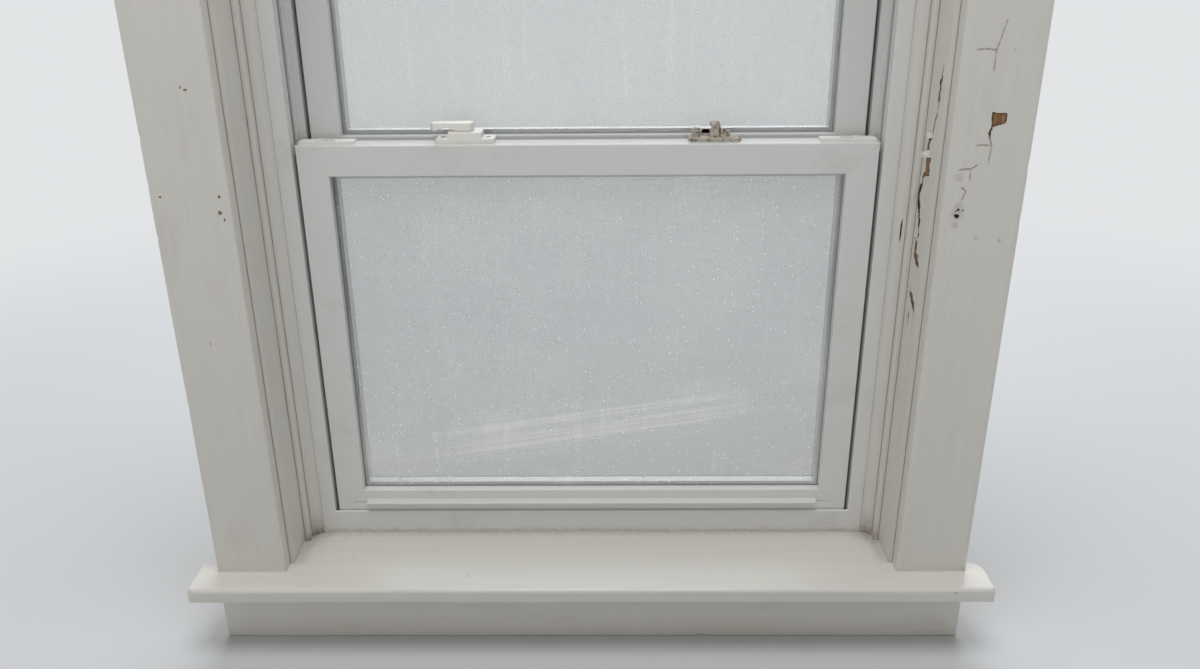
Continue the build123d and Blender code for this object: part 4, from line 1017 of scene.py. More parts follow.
def strand_grid(name):
    """Straight strands across and up, as the two layers of a screen cloth."""
    inputs = {"Low": (0.0, 0.0, 0.0), "Wide": 1.0, "High": 1.0, "Pitch": 0.0015, "Strand": 0.0003,
              "Material": None}
    graph, given, result = geometry_tree(name, inputs)

    def vector(**parts):
        return graph.add("ShaderNodeCombineXYZ", parts).outputs[0]

    pitch, strand = given["Pitch"], given["Strand"]
    both = graph.add("GeometryNodeJoinGeometry")
    for across in (True, False):
        run, spread = ("Wide", "High") if across else ("High", "Wide")
        half, first = graph.times(given[run], 0.5), graph.times(pitch, 0.5)
        side = graph.times(strand, 0.5 if across else -0.5)
        start = vector(X=half, Y=side, Z=first) if across else vector(X=first, Y=side, Z=half)
        line = graph.add("GeometryNodeMeshLine", {
            "Count": graph.maths("FLOOR", graph.over(given[spread], pitch)),
            "Start Location": graph.vector("ADD", start, given["Low"]),
            "Offset": vector(Z=pitch) if across else vector(X=pitch)})
        size = {"X": strand, "Y": strand, "Z": strand, "X" if across else "Z": given[run]}
        bar = graph.add("GeometryNodeMeshCube", {"Size": vector(**size)})
        layer = graph.add("GeometryNodeInstanceOnPoints", {
            "Points": line.outputs[0], "Instance": bar.outputs[0]})
        graph.feed(both.inputs[0], layer.outputs[0])
    finish_tree(graph, given, result, both.outputs[0])


TREES = {"Scattered lumps": scattered_lumps, "Strand grid": strand_grid}


def grown_piece(name, tree_name, coat, values):
    """A piece that a Geometry Nodes tree makes, as a plain mesh."""
    if tree_name not in bpy.data.node_groups:
        TREES[tree_name](tree_name)
    tree = bpy.data.node_groups[tree_name]
    piece = start_piece(name, bpy.data.meshes.new(name))
    growth = piece.modifiers.new(tree_name, "NODES")
    growth.node_group = tree
    given = [item for item in tree.interface.items_tree if item.in_out == "INPUT"]
    identifiers = {item.name: item.identifier for item in given}
    for label, value in {**values, "Material": finish(coat)}.items():
        growth[identifiers[label]] = value
    return made_plain(piece)


def graded(low, high, spans, fine, coarse):
    """Places from low to high, close together inside the given spans and wide apart elsewhere."""
    places = [low]
    while places[-1] < high - 0.5 * fine:
        here = places[-1]
        inside = any(start <= here < end for start, end in spans)
        ahead = min((start for start, end in spans if start > here), default=high)
        step = fine if inside else min(coarse, max(ahead - here, fine))
        places.append(min(here + step, high))
    return places


def patch_distance(points, corners):
    """How far points lie outside a patch with straight sides, whose corners run clockwise."""
    sides = []
    for start, end in zip(corners, corners[1:] + corners[:1]):
        run = np.array(end) - np.array(start)
        out = np.array((-run[1], run[0])) / np.linalg.norm(run)
        sides.append((points - np.array(start)) @ out)
    return np.max(sides, axis=0)


def tear_distance(points, tears, patches=()):
    """How far points lie outside the nearest tear or patch; a tear is a line of (across, up, half width)."""
    nearest = np.full(len(points), 1e3)
    for corners in patches:
        nearest = np.minimum(nearest, patch_distance(points, corners))
    for tear in tears:
        for (u0, v0, w0), (u1, v1, w1) in zip(tear, tear[1:]):
            start, run = np.array((u0, v0)), np.array((u1 - u0, v1 - v0))
            share = np.clip((points - start) @ run / (run @ run), 0.0, 1.0)
            away = np.linalg.norm(points - start - share[:, None] * run, axis=1)
            nearest = np.minimum(nearest, away - (w0 + (w1 - w0) * share))
    return nearest


def lines_from(millimetre_lines):
    """Lines of points in metres, from millimetres."""
    return [[tuple(value * MM for value in point) for point in line] for line in millimetre_lines]


def bridge(shape, near, far, closed=True):
    """Faces between two rows of a mesh's points; a closed row goes on to its first point."""
    count = len(near)
    for index in range(count if closed else count - 1):
        after = (index + 1) % count
        shape.faces.new((near[index], near[after], far[after], far[index]))


def tube(shape, rings):
    """A tube through rings of a mesh's points, closed at both ends."""
    for near, far in zip(rings, rings[1:]):
        bridge(shape, near, far)
    shape.faces.new(list(reversed(rings[0])))
    shape.faces.new(rings[-1])


def thick_sheet(name, shape, coat, thickness, sharp_degrees=50.0):
    """A piece from an open mesh, given its thickness behind the faces."""
    piece = start_piece(name, shape, coat)
    wall = piece.modifiers.new("Thickness", "SOLIDIFY")
    wall.thickness = thickness
    wall.offset = -1.0
    made_plain(piece)
    smooth(piece, sharp_degrees)
    return piece


def grid_shape(places, columns, keep, toward):
    """An open mesh over rows of places, without the faces that miss two or more of their corners."""
    shape = bmesh.new()
    points = [shape.verts.new(place) for place in places]
    for row in range(len(places) // columns - 1):
        for column in range(columns - 1):
            corner = row * columns + column
            ring = (corner, corner + 1, corner + columns + 1, corner + columns)
            if sum(keep[index] for index in ring) >= 3:
                shape.faces.new([points[index] for index in ring])
    loose = [vertex for vertex in shape.verts if not vertex.link_faces]
    bmesh.ops.delete(shape, geom=loose, context="VERTS")
    shape.normal_update()
    shape.faces.ensure_lookup_table()
    if shape.faces[0].normal.dot(toward) < 0.0:
        bmesh.ops.reverse_faces(shape, faces=shape.faces)
    return shape


def outward(spot):
    """The direction in which a board's paint stands off its face."""
    return Vector(spot(0.0, 0.0, 1.0)) - Vector(spot(0.0, 0.0, 0.0))


def crack_shadows(flat, cracks, spread):
    """Painted shadow of hairline cracks: 1 on a crack, down to 0 at the given distance."""
    return np.clip(1.0 - tear_distance(flat, lines_from(cracks)) / spread, 0.0, 1.0)


def paint_skin(name, coat, spot, widths, heights, tears, patches, lift, ragged):
    """A layer of old paint over a board's face, torn open; spot turns (across, up, out) into a place."""
    border, curl_reach = 2.0 * MM, 4.5 * MM
    ragged_scale, curl_scale = 420.0, 130.0
    thickness = sizes().paint_skin
    grid = np.array([(u, v) for v in heights for u in widths])
    rough = np.array([noise.noise(Vector((u, v, 0.0)) * ragged_scale) for u, v in grid])
    away = tear_distance(grid, tears, patches) + rough * ragged
    rim = np.minimum.reduce([grid[:, 0] - widths[0], widths[-1] - grid[:, 0],
                             grid[:, 1] - heights[0], heights[-1] - grid[:, 1]])
    out = thickness * np.clip(rim / border, -0.2, 1.0)
    slow = np.array([noise.noise(Vector((u, v, 4.0)) * curl_scale) for u, v in grid])
    near_tear = np.clip(1.0 - away / curl_reach, 0.0, 1.0) ** 2
    curled = np.clip(0.35 + slow * 1.6, 0.0, 1.0)
    out = out + lift * (near_tear * curled)
    places = [spot(u, v, o) for (u, v), o in zip(grid, out)]
    shape = grid_shape(places, len(widths), away > 0.0, outward(spot))
    return thick_sheet(name, shape, coat, thickness=0.7 * thickness)


def torn_wood(name, coat, spot, widths, heights, tears, patches, axes, shadowed_patch):
    """The wood that shows in the tears of a paint skin, with painted shadow toward their rims, where curled
    paint would shade it, and over the shadowed patch.
    """
    rim, rim_shadow_strength = 2.0 * MM, 0.9
    proud, thickness = 0.08 * MM, 0.05 * MM
    grid = np.array([(u, v) for v in heights for u in widths])
    near = tear_distance(grid, tears, patches) < 2.0 * rim
    places = [spot(u, v, proud) for u, v in grid]
    shape = grid_shape(places, len(widths), near, outward(spot))
    piece = thick_sheet(name, shape, coat, thickness)

    # Painted shadow: dark at the rims of the tears and over the whole shadowed patch.
    def shade(points):
        flat = points[:, axes]
        rims = np.clip(1.0 + tear_distance(flat, tears, patches) / rim, 0.0, 1.0)
        return np.maximum(rims * rim_shadow_strength, tear_distance(flat, [], shadowed_patch) < 0.0)

    mark_points(piece, "grime_and_shade", shade)
    return settle(piece, "frame", "raw_wood")


def curled_flakes(name, coat, spot, flakes):
    """Curls of paint held by one edge: (across, up, heading, length, breadth, turn), in mm and degrees."""
    shape = bmesh.new()
    rows, columns = 9, 6
    stand_off, unevenness = 0.5, 0.2
    for number, (across, up, heading, reach, breadth, turn) in enumerate(flakes):
        bend = math.radians(turn)
        radius = reach / bend
        run = Vector((math.cos(math.radians(heading)), math.sin(math.radians(heading))))
        side = Vector((-run.y, run.x))
        grid = []
        for row in range(rows + 1):
            angle = bend * row / rows
            half = 0.5 * breadth * (1.0 - 0.5 * (row / rows) ** 2)
            line = []
            for column in range(columns + 1):
                where = Vector((number * 5.1, row * 0.35, column * 0.8))
                rough = unevenness * breadth * noise.noise(where)
                beside = side * (2.0 * column / columns - 1.0) * half
                flat = Vector((across, up)) + run * (radius * math.sin(angle) + rough) + beside
                out = stand_off + radius * (1.0 - math.cos(angle)) + unevenness * abs(rough)
                line.append(shape.verts.new(spot(flat.x * MM, flat.y * MM, out * MM)))
            grid.append(line)
        for near, far in zip(grid, grid[1:]):
            bridge(shape, near, far, closed=False)
    bmesh.ops.recalc_face_normals(shape, faces=shape.faces)
    piece = thick_sheet(name, shape, coat, thickness=0.4 * MM, sharp_degrees=60.0)
    return settle(piece, "frame", "painted_wood")


def bead_of_caulk(name, paths, radius):
    """Soft uneven beads of painted caulk along lines."""
    shape = bmesh.new()
    sides = 8
    step = 3.0 * MM
    for number, (start, end) in enumerate(paths):
        start, end = Vector(start), Vector(end)
        run = (end - start).normalized()
        side = run.orthogonal().normalized()
        other = run.cross(side)
        count = max(3, int((end - start).length / step))
        rings = []
        for index in range(count + 1):
            share = index / count
            centre = start.lerp(end, share)
            swell = 1.0 + 0.25 * noise.noise(centre * 160.0 + Vector((number, 0.0, 0.0)))
            taper = min(1.0, 0.25 + 6.0 * min(share, 1.0 - share))
            ring = []
            for turn in range(sides):
                angle = math.tau * turn / sides
                lumpy = 1.0 + 0.2 * noise.noise(centre * 700.0 + Vector((turn, 0.0, 0.0)))
                out = side * math.cos(angle) + other * math.sin(angle)
                ring.append(shape.verts.new(centre + out * (radius * swell * taper * lumpy)))
            rings.append(ring)
        tube(shape, rings)
    bmesh.ops.recalc_face_normals(shape, faces=shape.faces)
    piece = start_piece(name, shape, "level_paint")
    mark_points(piece, "grime_and_shade", corner_darkening)
    smooth(piece, sharp_degrees=70.0)
    return settle(piece, "frame", "painted_wood")


def chips(name, coat, spots, plane, proud=0.12):
    """Small ragged scars on a board's front face: (across, up, radius, tall over wide) in millimetres."""
    shape = bmesh.new()
    corners, sunk, narrowing, raggedness = 16, 0.25, 0.93, 0.45
    for across, up, radius, tall in spots:
        rims = []
        for depth, share in ((sunk, 1.0), (-proud, narrowing)):
            rim = []
            for index in range(corners):
                angle = math.tau * index / corners
                wander = noise.noise(Vector((across + 1.7 * math.cos(angle), up, 1.7 * math.sin(angle))))
                reach = radius * share * (1.0 + raggedness * wander)
                x = across + reach * math.cos(angle)
                z = up + reach * tall * math.sin(angle)
                rim.append(shape.verts.new(Vector((x, plane + depth, z)) * MM))
            rims.append(rim)
        tube(shape, rims)
    bmesh.ops.recalc_face_normals(shape, faces=shape.faces)
    piece = start_piece(name, shape, coat)
    smooth(piece, sharp_degrees=30.0)
    return settle(piece, "frame", "painted_wood")


def on_board(node, start, heading):
    """Where a line from a point in millimetres meets a board, and which way the board faces there."""
    met, place, toward, _ = bpy.data.objects[node + "_board"].ray_cast(Vector(start) * MM, Vector(heading))
    if not met:
        raise RuntimeError(f"no face of {node} lies where its mark belongs")
    return place, toward


class SASHWINDOW_OT_stage(bpy.types.Operator):
    """Adds the camera, the floor and the light"""

    bl_idname = "sash_window.stage"
    bl_label = "Camera, floor and light"

    def execute(self, context):
        scene = context.scene
        self.camera(scene)
        self.floor(scene)
        self.lamp("daylight", (0.2, 2.3, 2.3), (0.0, 0.05, 0.35), 2.6, 66.0, (0.93, 0.97, 1.0))
        self.lamp("overhead", (0.0, -0.4, 3.1), (0.0, 0.0, 0.1), 1.3, 42.0, (0.96, 0.98, 1.0))
        self.lamp("room_fill", (-1.6, -2.6, 2.0), (0.0, 0.0, 0.6), 2.4, 9.0, (1.0, 0.96, 0.91))
        self.sky(scene)
        scene.view_settings.view_transform = "Standard"
        return {"FINISHED"}

    def camera(self, scene):
        """The photograph's view; its width and focal length are in pixels."""
        view_width, focal_length = 1200.0, 980.0
        heading, downward, roll = 0.63, 21.96, -0.45
        standpoint = (0.0262, -1.0566, 0.8419)
        camera = bpy.data.objects.new("Camera", bpy.data.cameras.new("Camera"))
        scene.collection.objects.link(camera)
        camera.data.sensor_width = 36.0
        camera.data.lens = focal_length / view_width * camera.data.sensor_width
        camera.data.clip_end = 60.0
        turn = (Matrix.Rotation(math.radians(heading), 4, "Z")
                @ Matrix.Rotation(math.radians(90.0 - downward), 4, "X")
                @ Matrix.Rotation(math.radians(roll), 4, "Z"))
        camera.matrix_world = Matrix.Translation(standpoint) @ turn
        scene.camera = camera

    def floor(self, scene):
        """A wide floor just under the object."""
        half, drop = 14.0, 0.2 * MM
        mesh = bpy.data.meshes.new("floor")
        corners = [(-half, -half, -drop), (half, -half, -drop), (half, half, -drop), (-half, half, -drop)]
        mesh.from_pydata(corners, [], [(0, 1, 2, 3)])
        mesh.materials.append(finish("floor"))
        floor = bpy.data.objects.new("floor", mesh)
        scene.collection.objects.link(floor)

    def lamp(self, name, place, target, size, power, tint):
        """A soft square lamp that points at a target and isn't seen itself."""
        light = bpy.data.lights.new(name, "AREA")
        light.size = size
        light.energy = power
        light.color = tint
        lamp = bpy.data.objects.new(name, light)
        bpy.context.scene.collection.objects.link(lamp)
        away = Vector(place) - Vector(target)
        turn = away.to_track_quat("Z", "Y").to_matrix().to_4x4()
        lamp.matrix_world = Matrix.Translation(place) @ turn
        lamp.visible_camera = False
        lamp.visible_transmission = False

    def sky(self, scene):
        """Even light from all round, and the backdrop's own colour where it is seen."""
        world = bpy.data.worlds.new("studio")
        scene.world = world
        world.use_nodes = True
        world.node_tree.nodes.clear()
        graph = Graph(world.node_tree)
        path = graph.add("ShaderNodeLightPath").outputs
        seen = graph.maths("MAXIMUM", path["Is Camera Ray"], path["Is Transmission Ray"])
        seen = graph.maths("MAXIMUM", seen, path["Is Glossy Ray"])
        even = graph.add("ShaderNodeBackground", {"Color": (1.0, 0.98, 0.955), "Strength": 0.3})
        backdrop = graph.add("ShaderNodeBackground", {"Color": colours().floor, "Strength": BACKDROP_LEVEL})
        both = graph.add("ShaderNodeMixShader", {0: seen, 1: even.outputs[0], 2: backdrop.outputs[0]})
        output = graph.add("ShaderNodeOutputWorld")
        graph.feed(output.inputs["Surface"], both.outputs[0])


# The right jamb's reveal, in millimetres of depth and height: the patch whose wood gets painted shadow, the
# patches without paint, the lines of torn and cracked paint with their half widths, and the curled flakes
JAMB_SHADOWED_PATCH = [(30.0, 590.0), (52.0, 590.0), (52.0, 532.0), (30.0, 532.0)]
JAMB_PATCHES = [[(20.9, 616.2), (34.8, 613.3), (34.0, 592.8), (17.7, 596.4)]]
JAMB_TEARS = [
    [(14.1, 712.0, 0.9), (15.1, 705.4, 1.7), (15.8, 693.2, 2.8), (16.6, 681.8, 3.0), (15.0, 678.0, 1.2)],
    [(17.1, 662.8, 1.9), (17.4, 657.9, 1.5)],
    [(20.9, 652.0, 1.5), (22.0, 640.6, 2.6), (31.0, 634.0, 3.0), (33.4, 626.6, 3.6), (30.3, 619.0, 3.4)],
    [(36.5, 593.5, 3.0), (43.4, 577.8, 3.6), (46.0, 568.8, 3.8), (44.0, 561.4, 4.2), (37.7, 550.0, 3.8),
     (34.0, 540.5, 3.2), (33.3, 534.3, 1.7)],
    [(31.5, 524.3, 2.3), (36.3, 518.5, 3.0), (36.5, 509.9, 3.8), (34.2, 502.0, 5.0), (28.7, 497.2, 5.5),
     (19.4, 491.5, 2.6)],
    [(33.7, 453.0, 4.3), (29.4, 450.8, 5.1), (22.5, 444.4, 3.9), (16.6, 437.6, 1.4)],
    [(33.0, 430.0, 1.0), (33.6, 424.0, 1.5), (33.2, 419.0, 1.0)],
]
JAMB_CRACKS = [
    [(13.6, 716.0, 0.2), (15.1, 705.4, 0.6), (16.6, 681.8, 0.6), (16.0, 670.0, 0.2)],
    [(16.9, 665.0, 0.3), (17.4, 657.9, 0.5), (20.9, 652.0, 0.7), (22.0, 640.6, 0.9), (31.0, 634.0, 1.2),
     (33.4, 626.6, 1.4), (30.3, 616.0, 1.2)],
    [(30.0, 597.0, 1.0), (36.5, 593.5, 1.0)],
    [(33.3, 534.3, 0.7), (31.5, 524.3, 0.7)],
    [(16.6, 437.6, 0.5), (15.6, 431.0, 0.2)],
    [(33.0, 430.0, 0.4), (33.6, 424.0, 0.8), (33.2, 414.0, 0.2)],
]
JAMB_FLAKES = [
    (22.5, 641.5, -28.0, 10.0, 7.0, 130.0),
    (22.0, 621.0, -25.0, 14.0, 9.0, 130.0),
    (40.5, 587.0, -12.0, 4.0, 9.0, 80.0),
    (33.5, 521.0, 10.0, 5.5, 8.0, 120.0),
    (33.0, 457.5, 8.0, 7.0, 6.5, 130.0),
]

# The right casing's face, in millimetres across and up: the patch without paint, torn and cracked lines with
# their half widths, and round stains with their radius
CASING_PATCHES = [[(425.5, 671.2), (441.6, 670.8), (441.2, 660.4), (427.0, 656.4)]]
CASING_TEARS = [[(427.4, 656.5, 0.7), (425.6, 650.0, 1.1), (426.6, 645.0, 0.5)]]
CASING_CRACKS = [
    [(426.6, 645.0, 0.3), (429.6, 637.0, 0.3), (429.2, 628.0, 0.35), (428.6, 617.5, 0.1)],
    [(414.0, 637.2, 0.15), (421.0, 637.8, 0.35), (429.6, 636.8, 0.3)],
    [(401.0, 735.0, 0.2), (411.0, 735.8, 0.35), (421.0, 734.6, 0.25), (424.5, 748.0, 0.2),
     (428.0, 764.0, 0.1)],
    [(421.0, 734.6, 0.2), (421.3, 714.0, 0.1)],
    [(399.0, 611.0, 0.2), (404.0, 612.0, 0.5), (411.0, 612.0, 0.3), (418.0, 616.5, 0.15)],
    [(410.6, 611.0, 0.3), (411.6, 601.0, 0.1)],
    [(404.0, 592.0, 0.2), (409.0, 588.0, 0.4), (406.0, 578.0, 0.1)],
]
CASING_STAINS = [
    (402.6, 563.0, 7.0), (404.0, 570.5, 5.0), (400.0, 603.0, 4.5), (401.5, 551.0, 4.0),
    (453.0, 533.0, 2.2), (427.0, 536.0, 2.5), (440.0, 735.0, 1.6),
]

# Nail holes and scars: millimetres across and up, radius, and how much taller than wide
RIGHT_NAIL_HOLES = [
    (402.6, 560.5, 3.1, 0.85), (403.6, 567.6, 1.5, 1.1), (400.9, 566.2, 0.8, 1.4), (408.6, 567.0, 0.7, 2.2),
]
LEFT_SCARS = [
    (-397.0, 586.0, 1.6, 1.2), (-398.7, 568.0, 2.2, 1.1), (-394.8, 560.5, 0.9, 2.6),
    (-461.2, 586.0, 1.5, 1.0), (-415.1, 699.7, 1.8, 0.8), (-420.0, 702.5, 0.8, 2.0),
    (-436.9, 430.9, 0.5, 14.0), (-433.0, 414.0, 0.4, 8.0),
]

# Dried drops on each sash's glass, paint crumbs at each jamb's foot, and the seeds that scatter them
DROPS = {"lower": (240, 11), "upper": (420, 5)}
CRUMBS = {"left": (46, 3), "right": (46, 9)}


class SASHWINDOW_OT_trim(bpy.types.Operator):
    """Paints the casings, stool, apron, stops, coves and jambs, with their torn paint, grime and painted
    shade
    """

    bl_idname = "sash_window.trim"
    bl_label = "Painted boards"

    def execute(self, context):
        back, above = (DEPTH, RIGHT), (UP, RIGHT)
        for side, sign in SIDES.items():
            skinned = side == "right"
            behind = (ACROSS, sign)
            board("casing_" + side, UP, [back], nicks=9, waved=not skinned)
            board("jamb_" + side, UP, [behind, back], waved=not skinned)
            board("stop_" + side, UP, [behind], nicks=3)
            board("cove_" + side, UP, nicks=2)
            board("blind_stop_" + side, UP, outdoor=True)
        board("casing_head", ACROSS, [back], nicks=6)
        board("jamb_head", ACROSS, [above, back])
        board("stop_head", ACROSS, [above])
        board("cove_head", ACROSS)
        board("blind_stop_head", ACROSS, outdoor=True)
        board("apron", ACROSS, [back], nicks=5)
        board("stool", ACROSS, [back], nicks=9)
        board("wood_sill", ACROSS, outdoor=True)
        self.jamb_skin()
        self.casing_skin()
        return {"FINISHED"}

    def jamb_skin(self):
        """Layers of paint on the right jamb's reveal, torn as in the photograph."""
        low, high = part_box("jamb_right")
        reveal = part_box("stop_right")[0].y
        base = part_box("stool")[1].z
        step, step_elsewhere = sizes().tear_step, 7.0 * MM
        torn_heights = [(0.412, 0.478), (0.486, 0.72)]
        lift, ragged = 1.2 * MM, 0.6 * MM
        from_room, from_stop, from_stool, from_head = 1.0 * MM, 0.4 * MM, 0.5 * MM, 1.0 * MM
        widths = graded(from_room, reveal - from_stop, [], step, step)
        heights = graded(base + from_stool, high.z - from_head, torn_heights, step, step_elsewhere)
        torn = (widths, heights, lines_from(JAMB_TEARS), lines_from(JAMB_PATCHES))
        face = [DEPTH, UP]

        def spot(across, up, out):
            return low.x - out, across, up

        # The jamb paint's mark: darkening where the boards meet, and painted shadow in the cracks.
        def marks(points):
            cracks = crack_shadows(points[:, face], JAMB_CRACKS, spread=1.6 * MM)
            return np.maximum(corner_darkening(points), cracks)

        skin = paint_skin("jamb_right_paint", "upright_paint", spot, *torn, lift, ragged)
        mark_points(skin, "grime_and_shade", marks)
        settle(skin, "frame", "painted_wood")
        torn_wood("jamb_right_wood", "upright_old_wood", spot, *torn, face, lines_from([JAMB_SHADOWED_PATCH]))
        curled_flakes("jamb_right_flakes", "upright_paint", spot, JAMB_FLAKES)

    def casing_skin(self):
        """Layers of paint on the right casing's face, with its scar and cracks."""
        low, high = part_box("casing_right")
        ease, end = 2.6 * MM, 0.5 * MM
        step, step_elsewhere = sizes().tear_step, 9.0 * MM
        torn_heights = [(0.528, 0.768)]
        lift, ragged = 0.3 * MM, 0.12 * MM
        widths = graded(low.x + ease, high.x - ease, [], step, step)
        heights = graded(low.z + end, high.z - end, torn_heights, step, step_elsewhere)
        torn = (widths, heights, lines_from(CASING_TEARS), lines_from(CASING_PATCHES))

        def spot(across, up, out):
            return across, low.y - out, up

        skin = paint_skin("casing_right_paint", "upright_paint", spot, *torn, lift, ragged)
        mark_points(skin, "grime_and_shade", self.casing_marks)
        settle(skin, "frame", "painted_wood")
        torn_wood("casing_right_wood", "upright_old_wood", spot, *torn, [ACROSS, UP], [])

    def casing_marks(self, points):
        """Painted shadow in the cracks, and brown stains, in the right casing's paint."""
        stain_share, stain_edge = 0.34, 1.4
        flat = points[:, [ACROSS, UP]]
        marks = crack_shadows(flat, CASING_CRACKS, spread=0.8 * MM)
        for across, up, radius in CASING_STAINS:
            away = np.hypot(flat[:, 0] - across * MM, flat[:, 1] - up * MM) / (radius * MM)
            marks = np.maximum(marks, stain_share * np.clip(stain_edge - away, 0.0, 1.0))
        return marks


class SASHWINDOW_OT_vinyl(bpy.types.Operator):
    """Finishes the vinyl frame, the sashes, their beads, latches and seals"""

    bl_idname = "sash_window.vinyl"
    bl_label = "Vinyl frame and sashes"

    def execute(self, context):
        edge = sizes().vinyl_edge
        dress("master_frame", "frame_vinyl", "white_vinyl", edge)
        for half in HALVES:
            dress(half + "_sash_frame", half + "_sash_vinyl", "white_vinyl", edge)
            dress(half + "_beads", "bead_vinyl", "white_vinyl", 0.6 * edge)
            for side in SIDES:
                dress(f"{half}_latch_{side}", "latch_plastic", "latch_plastic", 0.5 * edge)
                dress(f"{half}_bolt_{side}", "latch_plastic", "latch_plastic", 0.5 * edge)
            for part in ("shoes", "coil_carriers"):
                coat_node(f"{half}_{part}", "balance_plastic")
            coat_node(half + "_pivot_pins", "plated_steel")
            coat_node(half + "_spacer", "spacer_metal")
        coat_node("lower_seal", "seal_rubber")
        coat_node("shims", "shim_wood")
        coat_node("frame_screws", "plated_steel")
        return {"FINISHED"}


class SASHWINDOW_OT_glass(bpy.types.Operator):
    """Fits the panes and lays dust and dried drops on them"""

    bl_idname = "sash_window.glass"
    bl_label = "Glass and its dirt"

    def execute(self, context):
        for half in HALVES:
            for pane in ("inner", "outer"):
                coat_node(f"{half}_{pane}_pane", "clear_glass")
            self.film(half)
            self.drops(half)
        return {"FINISHED"}

    def film(self, half):
        """A thin layer of dust on the room face of a sash's inner pane."""
        columns, rows = 26, 20
        border, gap, thickness = 11.5 * MM, 0.08 * MM, 0.06 * MM
        low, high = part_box(half + "_inner_pane")
        face = low.y - gap
        places = [(x, face, z)
                  for z in np.linspace(low.z + border, high.z - border, rows + 1)
                  for x in np.linspace(low.x + border, high.x - border, columns + 1)]
        shape = grid_shape(places, columns + 1, [True] * len(places), Vector((0.0, -1.0, 0.0)))
        piece = thick_sheet(half + "_glass_dust", shape, half + "_glass_dust", thickness)
        mark_points(piece, "room_face", lambda points: points[:, DEPTH] < face + 0.5 * thickness)
        settle(piece, half + "_sash", "clear_glass")

    def drops(self, half):
        """Dried drops that stand on the glass."""
        low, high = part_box(half + "_inner_pane")
        border = 13.0 * MM
        count, seed = DROPS[half]
        values = {
            "Count": count,
            "Low": (low.x + border, low.y, low.z + border),
            "High": (high.x - border, low.y, high.z - border),
            "Smallest": (0.15 * MM, 0.08 * MM, 0.2 * MM),
            "Largest": (0.55 * MM, 0.16 * MM, 0.9 * MM),
            "Turn": (0.0, 0.6, 0.0),
            "Seed": seed,
        }
        piece = grown_piece(half + "_glass_drops", "Scattered lumps", "dried_drops", values)
        settle(piece, half + "_sash", "clear_glass")


class SASHWINDOW_OT_locks(bpy.types.Operator):
    """Finishes the left lock, the broken right lock, their screws and keepers"""

    bl_idname = "sash_window.locks"
    bl_label = "Locks"

    def execute(self, context):
        step = sizes().cast_step
        casting("lock_housing_left", "lock_paint", "lock_paint", step)
        casting("lock_lever_left", "lock_paint", "lock_paint", step)
        casting("lock_cam_left", "plated_steel", "lock_metal", step)
        dress("lock_keepers", "lock_paint", "lock_paint", radius=0.5 * MM)
        casting("lock_base_right", "corroded_zinc", "worn_lock_metal", step, wander=0.45 * MM)
        casting("lock_hub_right", "corroded_zinc", "worn_lock_metal", step, wander=0.5 * MM)
        coat_node("lock_screws", "plated_steel")
        return {"FINISHED"}


class SASHWINDOW_OT_screen(bpy.types.Operator):
    """Weaves the insect screen and finishes its frame"""

    bl_idname = "sash_window.screen"
    bl_label = "Insect screen"

    def execute(self, context):
        dress("screen_frame", "screen_enamel", "screen_aluminium", sizes().vinyl_edge)
        coat_node("screen_spline", "seal_rubber")
        low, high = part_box("screen_mesh")
        wide, tall = high.x - low.x, high.z - low.z
        strand, pitch = sizes().screen_strand, sizes().screen_pitch
        values = {"Low": (low.x, 0.5 * (low.y + high.y), low.z), "Wide": wide, "High": tall,
                  "Pitch": pitch, "Strand": strand}
        cloth = grown_piece("screen_cloth", "Strand grid", "screen_strand", values)
        settle(cloth, "frame", "screen_mesh", "screen_mesh")
        return {"FINISHED"}


class SASHWINDOW_OT_balances(bpy.types.Operator):
    """Winds the balance springs and finishes their ribbons"""

    bl_idname = "sash_window.balances"
    bl_label = "Balance springs"

    def execute(self, context):
        for half in HALVES:
            self.coils(half)
            self.ribbons(half)
        return {"FINISHED"}

    def coils(self, half):
        """Two wound springs of one sash, as spirals of flat steel."""
        low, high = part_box(half + "_coils")
        outer = 0.5 * (high.z - low.z)
        inner = 0.6 * outer
        centre_z = 0.5 * (low.z + high.z)
        pitch, steel = sizes().coil_pitch, sizes().coil_steel
        per_turn = 28
        count = int((outer - inner - steel) / pitch * per_turn)
        shape = bmesh.new()
        for sign in SIDES.values():
            centre_x = sign * (high.x - outer)
            rings = []
            for index in range(count + 1):
                angle = math.tau * index / per_turn
                near = inner + pitch * index / per_turn
                far = near + steel
                ring = []
                for radius, y in ((near, low.y), (far, low.y), (far, high.y), (near, high.y)):
                    x = centre_x + sign * radius * math.cos(angle)
                    z = centre_z + radius * math.sin(angle)
                    ring.append(shape.verts.new((x, y, z)))
                rings.append(ring)
            tube(shape, rings)
        bmesh.ops.recalc_face_normals(shape, faces=shape.faces)
        piece = start_piece(half + "_springs", shape, "spring_steel")
        smooth(piece)
        settle(piece, "frame", "steel", half + "_coils")

    def ribbons(self, half):
        """Two steel ribbons of one sash, cut into short lengths and coated as spring steel; on the window
        they lengthen as the sash leaves its coils.
        """
        shape = cad_copy(half + "_ribbons")
        slice_mesh(shape, UP, spacing=6.0 * MM)
        piece = start_piece(half + "_spring_ribbons", shape, "spring_steel")
        smooth(piece)
        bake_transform(piece)
        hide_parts(half + "_ribbons")


